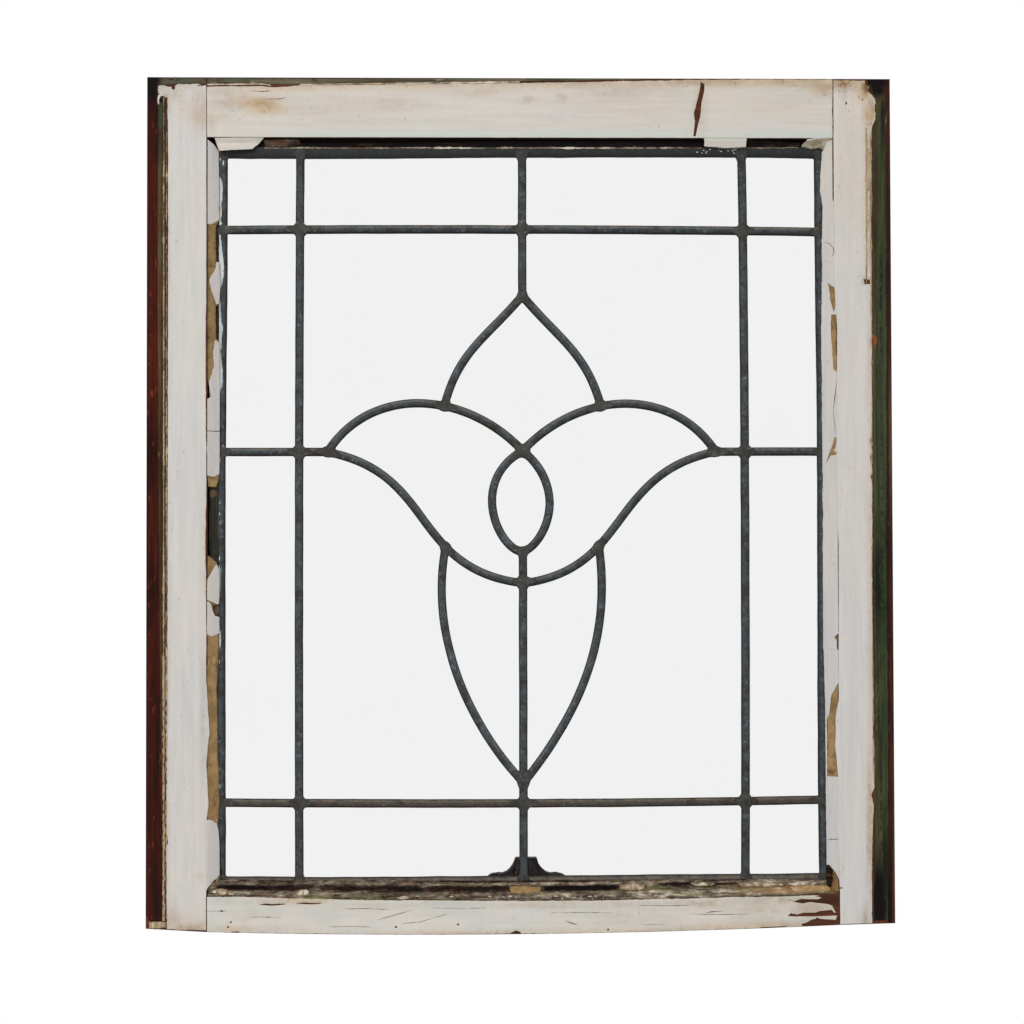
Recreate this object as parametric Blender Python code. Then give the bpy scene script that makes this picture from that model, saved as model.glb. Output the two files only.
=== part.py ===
"""Leaded glass window: the upper sash of a double-hung window.

A wooden sash with mortise and tenon corners holds a panel of clear glass pieces
joined by lead cames, bedded in a rebate and sealed with putty from outside.

Metres, +Z up. The outside faces -Y and +X is to the right as seen from outside.
The origin is the middle of the sash's top edge.
"""

import math

import bmesh
import bpy
from mathutils import Matrix, Vector

MM = 0.001

# Sash
PANEL_WIDTH = 508.7 * MM
PANEL_HEIGHT = 612.7 * MM
PANEL_CLEARANCE = 3.2 * MM
SASH_THICKNESS = 35.0 * MM
LEFT_STILE_FACE = 49.3 * MM
RIGHT_STILE_FACE = 45.2 * MM
TOP_RAIL_FACE = 49.0 * MM
MEETING_RAIL_FACE = 27.0 * MM
REBATE_DEPTH = 16.0 * MM
SHOULDER = 12.5 * MM
RAIL_PROJECTION = 12.0 * MM
RAIL_BEVEL = 4.0 * MM
RAIL_SAG = 4.5 * MM
RAIL_TAPER = 3.2 * MM
LEFT_FOOT_RISE = 3.0 * MM
RIGHT_FOOT_RISE = 1.2 * MM
BEAD_NOTCH = 13.0 * MM
TENON_THICKNESS = 11.0 * MM
CORD_GROOVE_WIDTH = 13.0 * MM
CORD_GROOVE_DEPTH = 10.0 * MM
CORD_GROOVE_SHARE = 0.42
KNOT_RADIUS = 9.5 * MM

# Leaded panel
GLASS_THICKNESS = 3.0 * MM
CAME_WIDTH = 6.35 * MM
BORDER_CAME_WIDTH = 12.7 * MM
CAME_HEART = 1.6 * MM
CAME_FLANGE = 1.5 * MM
GLASS_PLAY = 0.5 * MM
SIDE_COLUMN = 71.7 * MM
END_ROW = 71.35 * MM

# Putty and keeper
PUTTY_WIDTH = 11.3 * MM
PUTTY_RECESS = 0.3 * MM
KEEPER_LENGTH = 64.0 * MM
KEEPER_DEPTH = 16.0 * MM
KEEPER_HEIGHT = 22.0 * MM
KEEPER_PLATE = 3.0 * MM
KEEPER_OFFSET = 3.3 * MM
SCREW_RADIUS = 1.8 * MM
SCREW_HEAD_RADIUS = 3.4 * MM

GAP = 0.3 * MM

# Everything below follows from the sizes above
OPENING_WIDTH = PANEL_WIDTH + 2 * PANEL_CLEARANCE
OPENING_HEIGHT = PANEL_HEIGHT + 2 * PANEL_CLEARANCE
HALF_OPENING = OPENING_WIDTH / 2
LEFT_EDGE = -HALF_OPENING - LEFT_STILE_FACE
RIGHT_EDGE = HALF_OPENING + RIGHT_STILE_FACE
OPENING_TOP = -TOP_RAIL_FACE
OPENING_BOTTOM = OPENING_TOP - OPENING_HEIGHT
SASH_FOOT = OPENING_BOTTOM - MEETING_RAIL_FACE
FRONT = -SASH_THICKNESS / 2
BACK = SASH_THICKNESS / 2
REBATE_FLOOR = FRONT + REBATE_DEPTH
CHANNEL = GLASS_THICKNESS + 2 * GAP
CAME_THICKNESS = CHANNEL + 2 * CAME_FLANGE
PANEL_BACK = REBATE_FLOOR - GAP
PANEL_FRONT = PANEL_BACK - CAME_THICKNESS
PANEL_DEPTH = PANEL_BACK - CAME_THICKNESS / 2
PANEL_CENTRE = Vector((0.0, PANEL_DEPTH, (OPENING_TOP + OPENING_BOTTOM) / 2))
HALF_PANEL_WIDTH = PANEL_WIDTH / 2
HALF_PANEL_HEIGHT = PANEL_HEIGHT / 2

CURVE_STEPS = 10

for old in list(bpy.data.objects):
    bpy.data.objects.remove(old, do_unlink=True)

window = bpy.data.collections.new("leaded_glass_window")
guides = bpy.data.collections.new("guides")
bpy.context.scene.collection.children.link(window)
bpy.context.scene.collection.children.link(guides)


def material(name, colour, roughness, metallic=0.0, alpha=1.0):
    made = bpy.data.materials.new(name)
    made.use_nodes = True
    shader = made.node_tree.nodes["Principled BSDF"]
    shader.inputs["Base Color"].default_value = (*colour, 1.0)
    shader.inputs["Roughness"].default_value = roughness
    shader.inputs["Metallic"].default_value = metallic
    shader.inputs["Alpha"].default_value = alpha
    made.diffuse_color = (*colour, alpha)
    return made


PAINTED_WOOD = material("painted_wood", (0.62, 0.59, 0.55), 0.6)
LEAD = material("lead", (0.07, 0.08, 0.08), 0.5, 0.6)
GLASS = material("window_glass", (0.85, 0.88, 0.87), 0.05, 0.0, 0.3)
PUTTY = material("putty", (0.55, 0.50, 0.43), 0.85)
IRON = material("keeper_iron", (0.05, 0.035, 0.03), 0.5, 0.7)
SCREW_STEEL = material("screw_steel", (0.12, 0.10, 0.09), 0.45, 0.8)


# Making and joining solids
def add(name, mesh, surface=None, collection=None):
    made = bpy.data.objects.new(name, mesh)
    (collection or window).objects.link(made)
    if surface:
        mesh.materials.clear()
        mesh.materials.append(surface)
    if collection is guides:
        made.hide_render = True
        made.display_type = "WIRE"
    return made


def bake(made):
    """Replace an object's mesh with its evaluated mesh, modifiers included."""
    bpy.context.view_layer.update()
    evaluated = made.evaluated_get(bpy.context.evaluated_depsgraph_get())
    mesh = bpy.data.meshes.new_from_object(evaluated)
    made.modifiers.clear()
    made.data = mesh
    return made


def boolean(made, others, operation, solver="EXACT"):
    """Cut or join a solid with others, which are used up."""
    for other in others:
        modifier = made.modifiers.new(operation.lower(), "BOOLEAN")
        modifier.operation = operation
        modifier.solver = solver
        modifier.object = other
    bake(made)
    for other in others:
        bpy.data.objects.remove(other, do_unlink=True)
    return made


def cut(made, *cutters):
    return boolean(made, cutters, "DIFFERENCE")


def join(made, *others):
    return boolean(made, others, "UNION")


def cut_lead(made, *cutters):
    """Crossing strips share whole faces, which the exact solver leaves open."""
    return boolean(made, cutters, "DIFFERENCE", "MANIFOLD")


def join_lead(made, *others):
    return boolean(made, others, "UNION", "MANIFOLD")


def from_curve(name, curve, matrix, surface=None, collection=None):
    """Turn a curve object's data into a closed mesh object."""
    guide = bpy.data.objects.new(name + "_curve", curve)
    guides.objects.link(guide)
    bpy.context.view_layer.update()
    evaluated = guide.evaluated_get(bpy.context.evaluated_depsgraph_get())
    mesh = bpy.data.meshes.new_from_object(evaluated)
    bpy.data.objects.remove(guide, do_unlink=True)
    shape = bmesh.new()
    shape.from_mesh(mesh)
    bmesh.ops.remove_doubles(shape, verts=shape.verts, dist=1e-6)
    bmesh.ops.recalc_face_normals(shape, faces=shape.faces)
    shape.to_mesh(mesh)
    shape.free()
    mesh.transform(matrix)
    for vert in mesh.vertices:
        vert.co = [round(value, 7) for value in vert.co]
    return add(name, mesh, surface, collection)


def prism(name, outline, length, matrix, surface=None, collection=None):
    """A flat outline in local XY, given thickness along local Z."""
    curve = bpy.data.curves.new(name, "CURVE")
    curve.dimensions = "2D"
    curve.fill_mode = "BOTH"
    curve.extrude = length / 2
    spline = curve.splines.new("POLY")
    spline.points.add(len(outline) - 1)
    for point, (x, y) in zip(spline.points, outline):
        point.co = (x, y, 0.0, 1.0)
    spline.use_cyclic_u = True
    return from_curve(name, curve, matrix, surface, collection)


def box(name, low, high, surface=None, collection=guides):
    shape = bmesh.new()
    bmesh.ops.create_cube(shape, size=1.0)
    size = [b - a for a, b in zip(low, high)]
    middle = [(a + b) / 2 for a, b in zip(low, high)]
    bmesh.ops.scale(shape, vec=size, verts=shape.verts)
    bmesh.ops.translate(shape, vec=middle, verts=shape.verts)
    mesh = bpy.data.meshes.new(name)
    shape.to_mesh(mesh)
    shape.free()
    return add(name, mesh, surface, collection)


def cylinder(name, radius, low, high, surface=None, collection=guides, top_radius=None, sides=24):
    """A round bar or cone between two points."""
    low, high = Vector(low), Vector(high)
    axis = high - low
    shape = bmesh.new()
    bmesh.ops.create_cone(
        shape,
        cap_ends=True,
        segments=sides,
        radius1=radius,
        radius2=radius if top_radius is None else top_radius,
        depth=axis.length,
    )
    turn = axis.to_track_quat("Z", "Y").to_matrix().to_4x4()
    bmesh.ops.transform(shape, matrix=Matrix.Translation((low + high) / 2) @ turn, verts=shape.verts)
    mesh = bpy.data.meshes.new(name)
    shape.to_mesh(mesh)
    shape.free()
    return add(name, mesh, surface, collection)


def quarter_round(centre, radius_x, radius_y, steps=5):
    """Points of a quarter ellipse from its +X end to its +Y end."""
    return [
        (centre[0] + radius_x * math.cos(step * math.pi / 2 / steps),
         centre[1] + radius_y * math.sin(step * math.pi / 2 / steps))
        for step in range(steps + 1)
    ]


# The section of a stile or rail. First number: distance from the rebate wall
# towards the glass. Second number: Y, from the outside face to the inside face.
MOULD_FLAT = 0.35 * (BACK - REBATE_FLOOR)
MOULD_QUIRK = 0.1 * (BACK - REBATE_FLOOR)
MOULD_STEP = 0.15 * SHOULDER


def moulded_edge(grow=0.0):
    """The edge that carries the glass: rebate wall, shoulder and inside ovolo."""
    sight = SHOULDER + grow
    flat_end = REBATE_FLOOR + MOULD_FLAT + grow
    ovolo_end = BACK - MOULD_QUIRK + grow
    arc = quarter_round(
        (MOULD_STEP + grow, flat_end), sight - 2 * MOULD_STEP - grow, ovolo_end - flat_end
    )
    return [
        (grow, REBATE_FLOOR - grow),
        (sight, REBATE_FLOOR - grow),
        (sight, flat_end),
        *arc,
        (MOULD_STEP + grow, BACK + grow),
    ]


def member_section(face):
    return [(-face, FRONT), (0.0, FRONT), *moulded_edge(), (-face, BACK)]


def cope_section(face):
    """What a stile takes out of a rail's end, with room to spare in front."""
    beyond = face + 20 * MM
    return [
        (-beyond, FRONT - 5 * MM),
        (GAP, FRONT - 5 * MM),
        *moulded_edge(GAP),
        (-beyond, BACK + GAP),
    ]


def meeting_section():
    ledge_back = BACK + RAIL_PROJECTION - RAIL_BEVEL
    return [
        (-MEETING_RAIL_FACE, FRONT),
        (0.0, FRONT),
        (0.0, REBATE_FLOOR),
        (SHOULDER, REBATE_FLOOR),
        (SHOULDER, ledge_back),
        (-MEETING_RAIL_FACE, BACK + RAIL_PROJECTION),
    ]


def upright(side, outline, name, low, high, surface=None, collection=None):
    """A section run vertically beside the opening. side is -1 left, 1 right."""
    shaped = [(side * (HALF_OPENING - u), y) for u, y in outline]
    matrix = Matrix.Translation((0.0, 0.0, (low + high) / 2))
    return prism(name, shaped, high - low, matrix, surface, collection)


def level(edge, outline, name, left, right, surface=None, collection=None):
    """A section run across the opening at its top (edge 1) or bottom (edge -1)."""
    wall = OPENING_TOP if edge > 0 else OPENING_BOTTOM
    turn = Matrix.Rotation(edge * math.pi / 2, 4, "Y")
    matrix = Matrix.Translation(((left + right) / 2, 0.0, wall)) @ turn
    return prism(name, outline, right - left, matrix, surface, collection)


def sag_at(x):
    """How far the meeting rail hangs below its ends."""
    share = min(abs(x) / HALF_OPENING, 1.0)
    return RAIL_SAG * (1.0 - share * share)


def swept_rail(name, outline, stations, surface):
    """The meeting rail's section pulled from station to station along its sag."""
    shape = bmesh.new()
    start = stations[0]
    corners = [
        shape.verts.new((start, y, OPENING_BOTTOM + u - sag_at(start))) for u, y in outline
    ]
    end = [shape.faces.new(corners)]
    for here, there in zip(stations, stations[1:]):
        pulled = bmesh.ops.extrude_face_region(shape, geom=end)["geom"]
        moved = [part for part in pulled if isinstance(part, bmesh.types.BMVert)]
        step = (there - here, 0.0, sag_at(here) - sag_at(there))
        bmesh.ops.translate(shape, vec=step, verts=moved)
        if here != start:
            bmesh.ops.delete(shape, geom=end, context="FACES_ONLY")
        end = [part for part in pulled if isinstance(part, bmesh.types.BMFace)]
    bmesh.ops.recalc_face_normals(shape, faces=shape.faces)
    mesh = bpy.data.meshes.new(name)
    shape.to_mesh(mesh)
    shape.free()
    return add(name, mesh, surface)


def foot_height(side, x):
    """The stile's sawn end: level with the rail's at the opening, higher at its outer edge."""
    beyond = abs(x) - HALF_OPENING
    return SASH_FOOT + side * RAIL_TAPER / 2 + FOOT_RISE[side] * beyond / FACE[side]


def lower_edge(made, height):
    """Move a member's lowest corners to height(x)."""
    shape = bmesh.new()
    shape.from_mesh(made.data)
    for corner in shape.verts:
        if corner.co.z < SASH_FOOT + 0.1 * MM:
            corner.co.z = height(corner.co.x)
    bmesh.ops.triangulate(shape, faces=[face for face in shape.faces if len(face.verts) == 4])
    shape.to_mesh(made.data)
    shape.free()


# Sash joinery
TENON_LOW, TENON_HIGH = -TENON_THICKNESS / 2, TENON_THICKNESS / 2
TOP_TENON = (OPENING_TOP, -0.3 * TOP_RAIL_FACE)
FOOT_TENON = (SASH_FOOT + 0.3 * MEETING_RAIL_FACE, OPENING_BOTTOM)
GROOVE_FLOOR = {-1: LEFT_EDGE + CORD_GROOVE_DEPTH, 1: RIGHT_EDGE - CORD_GROOVE_DEPTH}
OUTER_EDGE = {-1: LEFT_EDGE, 1: RIGHT_EDGE}
FACE = {-1: LEFT_STILE_FACE, 1: RIGHT_STILE_FACE}
FOOT_RISE = {-1: LEFT_FOOT_RISE, 1: RIGHT_FOOT_RISE}
KNOT_HEIGHT = CORD_GROOVE_SHARE * SASH_FOOT


def span(first, second, low_y, high_y, low_z, high_z, name="cutter"):
    """A box between two X positions given in either order."""
    return box(name, (min(first, second), low_y, low_z), (max(first, second), high_y, high_z))


def mortise(side, heights):
    low, high = heights
    return span(
        side * (HALF_OPENING - 2 * SHOULDER),
        OUTER_EDGE[side] + side * 5 * MM,
        TENON_LOW - GAP,
        TENON_HIGH + GAP,
        low - GAP,
        high + GAP,
    )


def tenon(side, heights, end):
    low, high = heights
    return span(side * (HALF_OPENING - SHOULDER - 6 * MM), end, TENON_LOW, TENON_HIGH, low, high)


for side, name in ((-1, "left_stile"), (1, "right_stile")):
    stile = upright(side, member_section(FACE[side]), name, SASH_FOOT, 0.0, PAINTED_WOOD)
    lower_edge(stile, lambda x, side=side: foot_height(side, x))
    groove = span(
        OUTER_EDGE[side] + side * 5 * MM,
        GROOVE_FLOOR[side],
        -CORD_GROOVE_WIDTH / 2,
        CORD_GROOVE_WIDTH / 2,
        KNOT_HEIGHT,
        5 * MM,
    )
    knot = cylinder(
        "cutter",
        KNOT_RADIUS,
        (OUTER_EDGE[side] + side * 5 * MM, 0.0, KNOT_HEIGHT),
        (GROOVE_FLOOR[side] - side * 8 * MM, 0.0, KNOT_HEIGHT),
    )
    cut(stile, groove, knot, mortise(side, TOP_TENON), mortise(side, FOOT_TENON))


def cope_cutters():
    return [
        upright(
            side, cope_section(FACE[side]), "cope", SASH_FOOT - 30 * MM, 30 * MM, None, guides
        )
        for side in (-1, 1)
    ]


top_rail = level(
    1, member_section(TOP_RAIL_FACE), "top_rail", LEFT_EDGE, RIGHT_EDGE, PAINTED_WOOD
)
cut(top_rail, *cope_cutters())
join(top_rail, *(tenon(side, TOP_TENON, GROOVE_FLOOR[side]) for side in (-1, 1)))

rail_ends = [LEFT_EDGE + BEAD_NOTCH, RIGHT_EDGE - BEAD_NOTCH]
sag_stations = [HALF_OPENING * (step / 8 - 1) for step in range(17)]
meeting_rail = swept_rail(
    "meeting_rail", meeting_section(), [rail_ends[0], *sag_stations, rail_ends[1]], PAINTED_WOOD
)
lower_edge(
    meeting_rail,
    lambda x: SASH_FOOT - sag_at(x) + RAIL_TAPER / 2 * max(-1.0, min(1.0, x / HALF_OPENING)),
)
cut(meeting_rail, *cope_cutters())
join(meeting_rail, *(tenon(side, FOOT_TENON, OUTER_EDGE[side]) for side in (-1, 1)))


# The lead lines, drawn on the panel from its centre. A line is a list of
# Bezier points: start, its handle, the end's handle, end. A straight run has
# only its start and end.
def on_panel(x, z):
    """A point drawn on the panel of 508.7 by 612.7 mm, at this panel's size."""
    return Vector((x * MM * PANEL_WIDTH / 0.5087, z * MM * PANEL_HEIGHT / 0.6127))


def mirrored(line):
    return [Vector((-point.x, point.y)) for point in line]


def along(line, share):
    """The point at this share of a Bezier line."""
    rest = 1 - share
    weights = (rest**3, 3 * rest**2 * share, 3 * rest * share**2, share**3)
    return sum((point * weight for point, weight in zip(line, weights)), Vector((0.0, 0.0)))


COLUMN_X = HALF_PANEL_WIDTH - SIDE_COLUMN
ROW_Z = HALF_PANEL_HEIGHT - END_ROW
BORDER_INNER_X = HALF_PANEL_WIDTH - BORDER_CAME_WIDTH
BORDER_INNER_Z = HALF_PANEL_HEIGHT - BORDER_CAME_WIDTH

# The two halves of the flower were drawn by hand and differ by up to 3 mm
left_tip, right_tip = on_panel(-160.2, 52.1), on_panel(158.8, 52.1)
petals_meet = on_panel(0.0, 53.0)
stem_joint = on_panel(0.0, -55.8)
eye_foot = on_panel(0.0, -30.3)
leaf_foot = on_panel(0.0, -219.0)
bud_apex = on_panel(0.0, 180.7)

left_petal_top = [left_tip, on_panel(-121.9, 110.3), on_panel(-44.4, 100.1), petals_meet]
left_petal_under = [left_tip, on_panel(-69.5, 34.2), on_panel(-93.6, -43.8), stem_joint]
left_eye = [petals_meet, on_panel(-45.9, 26.6), on_panel(-18.5, -29.1), eye_foot]
left_bud_foot = along(left_petal_top, 0.602)
left_leaf_tip = along(left_petal_under, 0.663)
left_bud = [bud_apex, on_panel(-29.6, 146.3), on_panel(-52.9, 134.1), left_bud_foot]
left_leaf = [left_leaf_tip, on_panel(-75.9, -90.6), on_panel(-51.3, -164.1), leaf_foot]

right_petal_top = [right_tip, on_panel(120.9, 108.9), on_panel(45.1, 100.6), petals_meet]
right_petal_under = [right_tip, on_panel(70.3, 34.3), on_panel(88.7, -44.6), stem_joint]
right_eye = [petals_meet, on_panel(39.0, 20.3), on_panel(17.9, -23.2), eye_foot]
right_bud_foot = along(right_petal_top, 0.600)
right_leaf_tip = along(right_petal_under, 0.655)
right_bud = [bud_apex, on_panel(29.1, 145.5), on_panel(52.4, 134.2), right_bud_foot]
right_leaf = [right_leaf_tip, on_panel(72.1, -96.8), on_panel(50.7, -157.0), leaf_foot]

left_column = [Vector((-COLUMN_X, -BORDER_INNER_Z + GAP)), Vector((-COLUMN_X, BORDER_INNER_Z - GAP))]
top_row = [Vector((-BORDER_INNER_X + GAP, ROW_Z)), Vector((BORDER_INNER_X - GAP, ROW_Z))]
bottom_row = [Vector((-BORDER_INNER_X + GAP, -ROW_Z)), Vector((BORDER_INNER_X - GAP, -ROW_Z))]
left_bar = [Vector((-BORDER_INNER_X + GAP, left_tip.y)), left_tip]
right_bar = [Vector((BORDER_INNER_X - GAP, right_tip.y)), right_tip]
top_bar = [Vector((0.0, BORDER_INNER_Z - GAP)), bud_apex]
foot_bar = [Vector((0.0, -ROW_Z)), Vector((0.0, -BORDER_INNER_Z + GAP))]
HALF_CAME = CAME_WIDTH / 2
stem = [
    eye_foot - Vector((0.0, HALF_CAME + GAP)),
    Vector((0.0, -ROW_Z + HALF_CAME + GAP)),
]


def came_profile(width, heart, flange_bevel=0.35):
    """The H section of a came, across the line and through the panel."""
    half, web = width / 2, heart / 2
    inner, outer = CHANNEL / 2, CAME_THICKNESS / 2
    shoulder = outer - 0.45 * CAME_FLANGE
    crown = half * (1 - flange_bevel)
    upper = [(half, shoulder), (crown, outer), (-crown, outer), (-half, shoulder)]
    left = [(-half, inner), (-web, inner), (-web, -inner), (-half, -inner)]
    lower = [(-half, -shoulder), (-crown, -outer), (crown, -outer), (half, -shoulder)]
    right = [(half, -inner), (web, -inner), (web, inner), (half, inner)]
    return upper + left + lower + right


def bar_profile(width, thickness):
    half, depth = width / 2, thickness / 2
    return [(half, depth), (-half, depth), (-half, -depth), (half, -depth)]


def swept(name, line, profile, surface=None, collection=guides):
    """A section run along a line of the panel: a curve with a bevel object."""
    section = bpy.data.curves.new(name + "_section", "CURVE")
    section.dimensions = "2D"
    section.fill_mode = "NONE"
    outline = section.splines.new("POLY")
    outline.points.add(len(profile) - 1)
    for point, (x, y) in zip(outline.points, profile):
        point.co = (x, y, 0.0, 1.0)
    outline.use_cyclic_u = True
    bevel = bpy.data.objects.new(name + "_section", section)
    guides.objects.link(bevel)
    bevel.hide_render = True

    curve = bpy.data.curves.new(name, "CURVE")
    curve.dimensions = "3D"
    curve.twist_mode = "Z_UP"
    curve.bevel_mode = "OBJECT"
    curve.bevel_object = bevel
    curve.use_fill_caps = True
    if len(line) == 2:
        spline = curve.splines.new("POLY")
        spline.points.add(1)
        for point, place in zip(spline.points, line):
            point.co = (place.x, place.y, 0.0, 1.0)
    else:
        start, leaving, arriving, end = line
        curve.resolution_u = CURVE_STEPS
        spline = curve.splines.new("BEZIER")
        spline.bezier_points.add(1)
        ends = ((start, 2 * start - leaving, leaving), (end, arriving, 2 * end - arriving))
        for point, (place, before, after) in zip(spline.bezier_points, ends):
            point.co = (place.x, place.y, 0.0)
            point.handle_left = (before.x, before.y, 0.0)
            point.handle_right = (after.x, after.y, 0.0)
    turn = Matrix.Translation(PANEL_CENTRE) @ Matrix.Rotation(math.pi / 2, 4, "X")
    made = from_curve(name, curve, turn, surface, collection)
    bpy.data.objects.remove(bevel, do_unlink=True)
    return made


INNER_CAME = came_profile(CAME_WIDTH, CAME_HEART)
ENVELOPE = bar_profile(CAME_WIDTH + 2 * GAP, CAME_THICKNESS + 4 * MM)


def came(name, *lines):
    """Lead strips run along lines and soldered into one piece."""
    first = swept(name, lines[0], INNER_CAME, LEAD, window)
    others = [swept("strip", line, INNER_CAME) for line in lines[1:]]
    return join_lead(first, *others) if others else first


def room_for(*lines):
    """What a strip's end gives up to the strips it butts against."""
    return [swept("room", line, ENVELOPE) for line in lines]


def panel_box(low_x, high_x, low_z, high_z, thickness=CAME_THICKNESS + 4 * MM):
    centre = PANEL_CENTRE
    return box(
        "cutter",
        (low_x, centre.y - thickness / 2, centre.z + low_z),
        (high_x, centre.y + thickness / 2, centre.z + high_z),
    )


# Border: four wide strips around the panel's edge
border_line_x = HALF_PANEL_WIDTH - BORDER_CAME_WIDTH / 2
border_line_z = HALF_PANEL_HEIGHT - BORDER_CAME_WIDTH / 2
BORDER_CAME = came_profile(BORDER_CAME_WIDTH, CAME_HEART, 0.2)
border_lines = [
    [Vector((-border_line_x, -HALF_PANEL_HEIGHT)), Vector((-border_line_x, HALF_PANEL_HEIGHT))],
    [Vector((border_line_x, -HALF_PANEL_HEIGHT)), Vector((border_line_x, HALF_PANEL_HEIGHT))],
    [Vector((-HALF_PANEL_WIDTH, -border_line_z)), Vector((HALF_PANEL_WIDTH, -border_line_z))],
    [Vector((-HALF_PANEL_WIDTH, border_line_z)), Vector((HALF_PANEL_WIDTH, border_line_z))],
]
border_came = swept("border_came", border_lines[0], BORDER_CAME, LEAD, window)
join_lead(border_came, *(swept("strip", line, BORDER_CAME) for line in border_lines[1:]))

# Grid: the straight strips
grid_came = came(
    "grid_came",
    left_column,
    mirrored(left_column),
    top_row,
    bottom_row,
    left_bar,
    right_bar,
    top_bar,
    foot_bar,
)
cut_lead(
    grid_came,
    *room_for(left_petal_top, left_petal_under, left_bud),
    *room_for(right_petal_top, right_petal_under, right_bud),
)

# Flower: petals, eye, bud, stem and leaf
far = HALF_PANEL_WIDTH
stem_room = [eye_foot, Vector((0.0, -ROW_Z))]
left_petal_came = came("left_petal_came", left_petal_top, left_petal_under)
cut_lead(left_petal_came, panel_box(-GAP / 2, far, -far, far), *room_for(stem_room))
right_petal_came = came("right_petal_came", right_petal_top, right_petal_under)
cut_lead(right_petal_came, panel_box(-far, GAP / 2, -far, far), *room_for(stem_room))

eye_came = came("eye_came", left_eye, right_eye)
meet = petals_meet.y
cut_lead(
    eye_came,
    *room_for(left_petal_top, right_petal_top),
    panel_box(-HALF_CAME, HALF_CAME, meet - CAME_WIDTH, meet + CAME_WIDTH),
)

bud_came = came("bud_came", left_bud, right_bud)
cut_lead(bud_came, *room_for(left_petal_top, right_petal_top))

stem_came = came("stem_came", stem)

for name, line, edge in (
    ("left_leaf_came", left_leaf, left_petal_under),
    ("right_leaf_came", right_leaf, right_petal_under),
):
    leaf_came = came(name, line)
    cut_lead(leaf_came, *room_for(edge, stem_room))

# Glass: one sheet cut along every lead line, each piece named by its place
PANES = {
    "top_left_corner_glass": (-212, 265),
    "top_left_glass": (-91, 265),
    "top_right_glass": (91, 265),
    "top_right_corner_glass": (212, 265),
    "left_upper_border_glass": (-212, 143),
    "right_upper_border_glass": (212, 143),
    "left_lower_border_glass": (-212, -91),
    "right_lower_border_glass": (212, -91),
    "left_upper_field_glass": (-115, 165),
    "right_upper_field_glass": (115, 165),
    "left_lower_field_glass": (-120, -110),
    "right_lower_field_glass": (120, -110),
    "bud_glass": (0, 118),
    "left_petal_glass": (-75, 35),
    "right_petal_glass": (75, 35),
    "eye_glass": (0, 12),
    "left_leaf_glass": (-38, -105),
    "right_leaf_glass": (38, -105),
    "bottom_left_corner_glass": (-212, -265),
    "bottom_left_glass": (-91, -265),
    "bottom_right_glass": (91, -265),
    "bottom_right_corner_glass": (212, -265),
}
sheet_x = border_line_x - CAME_HEART / 2 - GLASS_PLAY
sheet_z = border_line_z - CAME_HEART / 2 - GLASS_PLAY
sheet = panel_box(-sheet_x, sheet_x, -sheet_z, sheet_z, GLASS_THICKNESS)
reach_x = Vector((BORDER_CAME_WIDTH, 0.0))
reach_z = Vector((0.0, BORDER_CAME_WIDTH))
left_cut = [left_column[0] - reach_z, left_column[1] + reach_z]
glass_lines = [
    left_cut,
    mirrored(left_cut),
    [top_row[0] - reach_x, top_row[1] + reach_x],
    [bottom_row[0] - reach_x, bottom_row[1] + reach_x],
    [left_bar[0] - reach_x, left_bar[1]],
    [right_bar[0] + reach_x, right_bar[1]],
    [top_bar[0] + reach_z, top_bar[1]],
    [eye_foot, foot_bar[1] - reach_z],
    left_petal_top,
    left_petal_under,
    left_eye,
    left_bud,
    left_leaf,
    right_petal_top,
    right_petal_under,
    right_eye,
    right_bud,
    right_leaf,
]
SAW = bar_profile(CAME_HEART + 2 * GLASS_PLAY, CAME_THICKNESS + 4 * MM)
cut(sheet, *(swept("saw", line, SAW) for line in glass_lines))


def loose_pieces(made):
    """Separate a mesh into its connected bodies."""
    shape = bmesh.new()
    shape.from_mesh(made.data)
    bmesh.ops.triangulate(shape, faces=shape.faces)
    waiting = set(shape.verts)
    while waiting:
        group = {waiting.pop()}
        edge = list(group)
        while edge:
            vert = edge.pop()
            for link in vert.link_edges:
                other = link.other_vert(vert)
                if other not in group:
                    group.add(other)
                    edge.append(other)
        waiting -= group
        yield shape, sorted(group, key=lambda vert: vert.index)
    shape.free()


def piece_mesh(name, verts):
    """A mesh of the faces that these vertices carry."""
    piece = bmesh.new()
    copies = {vert: piece.verts.new(vert.co) for vert in verts}
    faces = {face for vert in verts for face in vert.link_faces}
    for face in sorted(faces, key=lambda face: face.index):
        piece.faces.new([copies[vert] for vert in face.verts])
    bmesh.ops.dissolve_limit(
        piece, angle_limit=math.radians(0.1), verts=piece.verts, edges=piece.edges
    )
    mesh = bpy.data.meshes.new(name)
    piece.to_mesh(mesh)
    piece.free()
    return mesh


def pane_name(verts):
    """The pane whose place is nearest to the middle of this piece's area."""
    faces = {face for vert in verts for face in vert.link_faces}
    area = sum(face.calc_area() for face in faces)
    middle = sum((face.calc_center_median() * face.calc_area() for face in faces), Vector())
    middle = middle / area - PANEL_CENTRE
    return min(
        PANES, key=lambda name: (on_panel(*PANES[name]) - Vector((middle.x, middle.z))).length
    )


for shape, verts in loose_pieces(sheet):
    if len(verts) < 6 or max(vert.co.x for vert in verts) - min(vert.co.x for vert in verts) < 5 * MM:
        continue
    name = pane_name(verts)
    add(name, piece_mesh(name, verts), GLASS)
bpy.data.objects.remove(sheet, do_unlink=True)


# Putty: a wedge from the sash face down to the border came, broken into runs
def putty_section(width=PUTTY_WIDTH):
    foot = PANEL_CLEARANCE - GAP
    return [
        (GAP, FRONT + PUTTY_RECESS),
        (width, PANEL_FRONT - GAP - 0.8 * MM),
        (width, PANEL_FRONT - GAP),
        (foot, PANEL_FRONT - GAP),
        (foot, REBATE_FLOOR - GAP),
        (GAP, REBATE_FLOOR - GAP),
    ]


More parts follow.
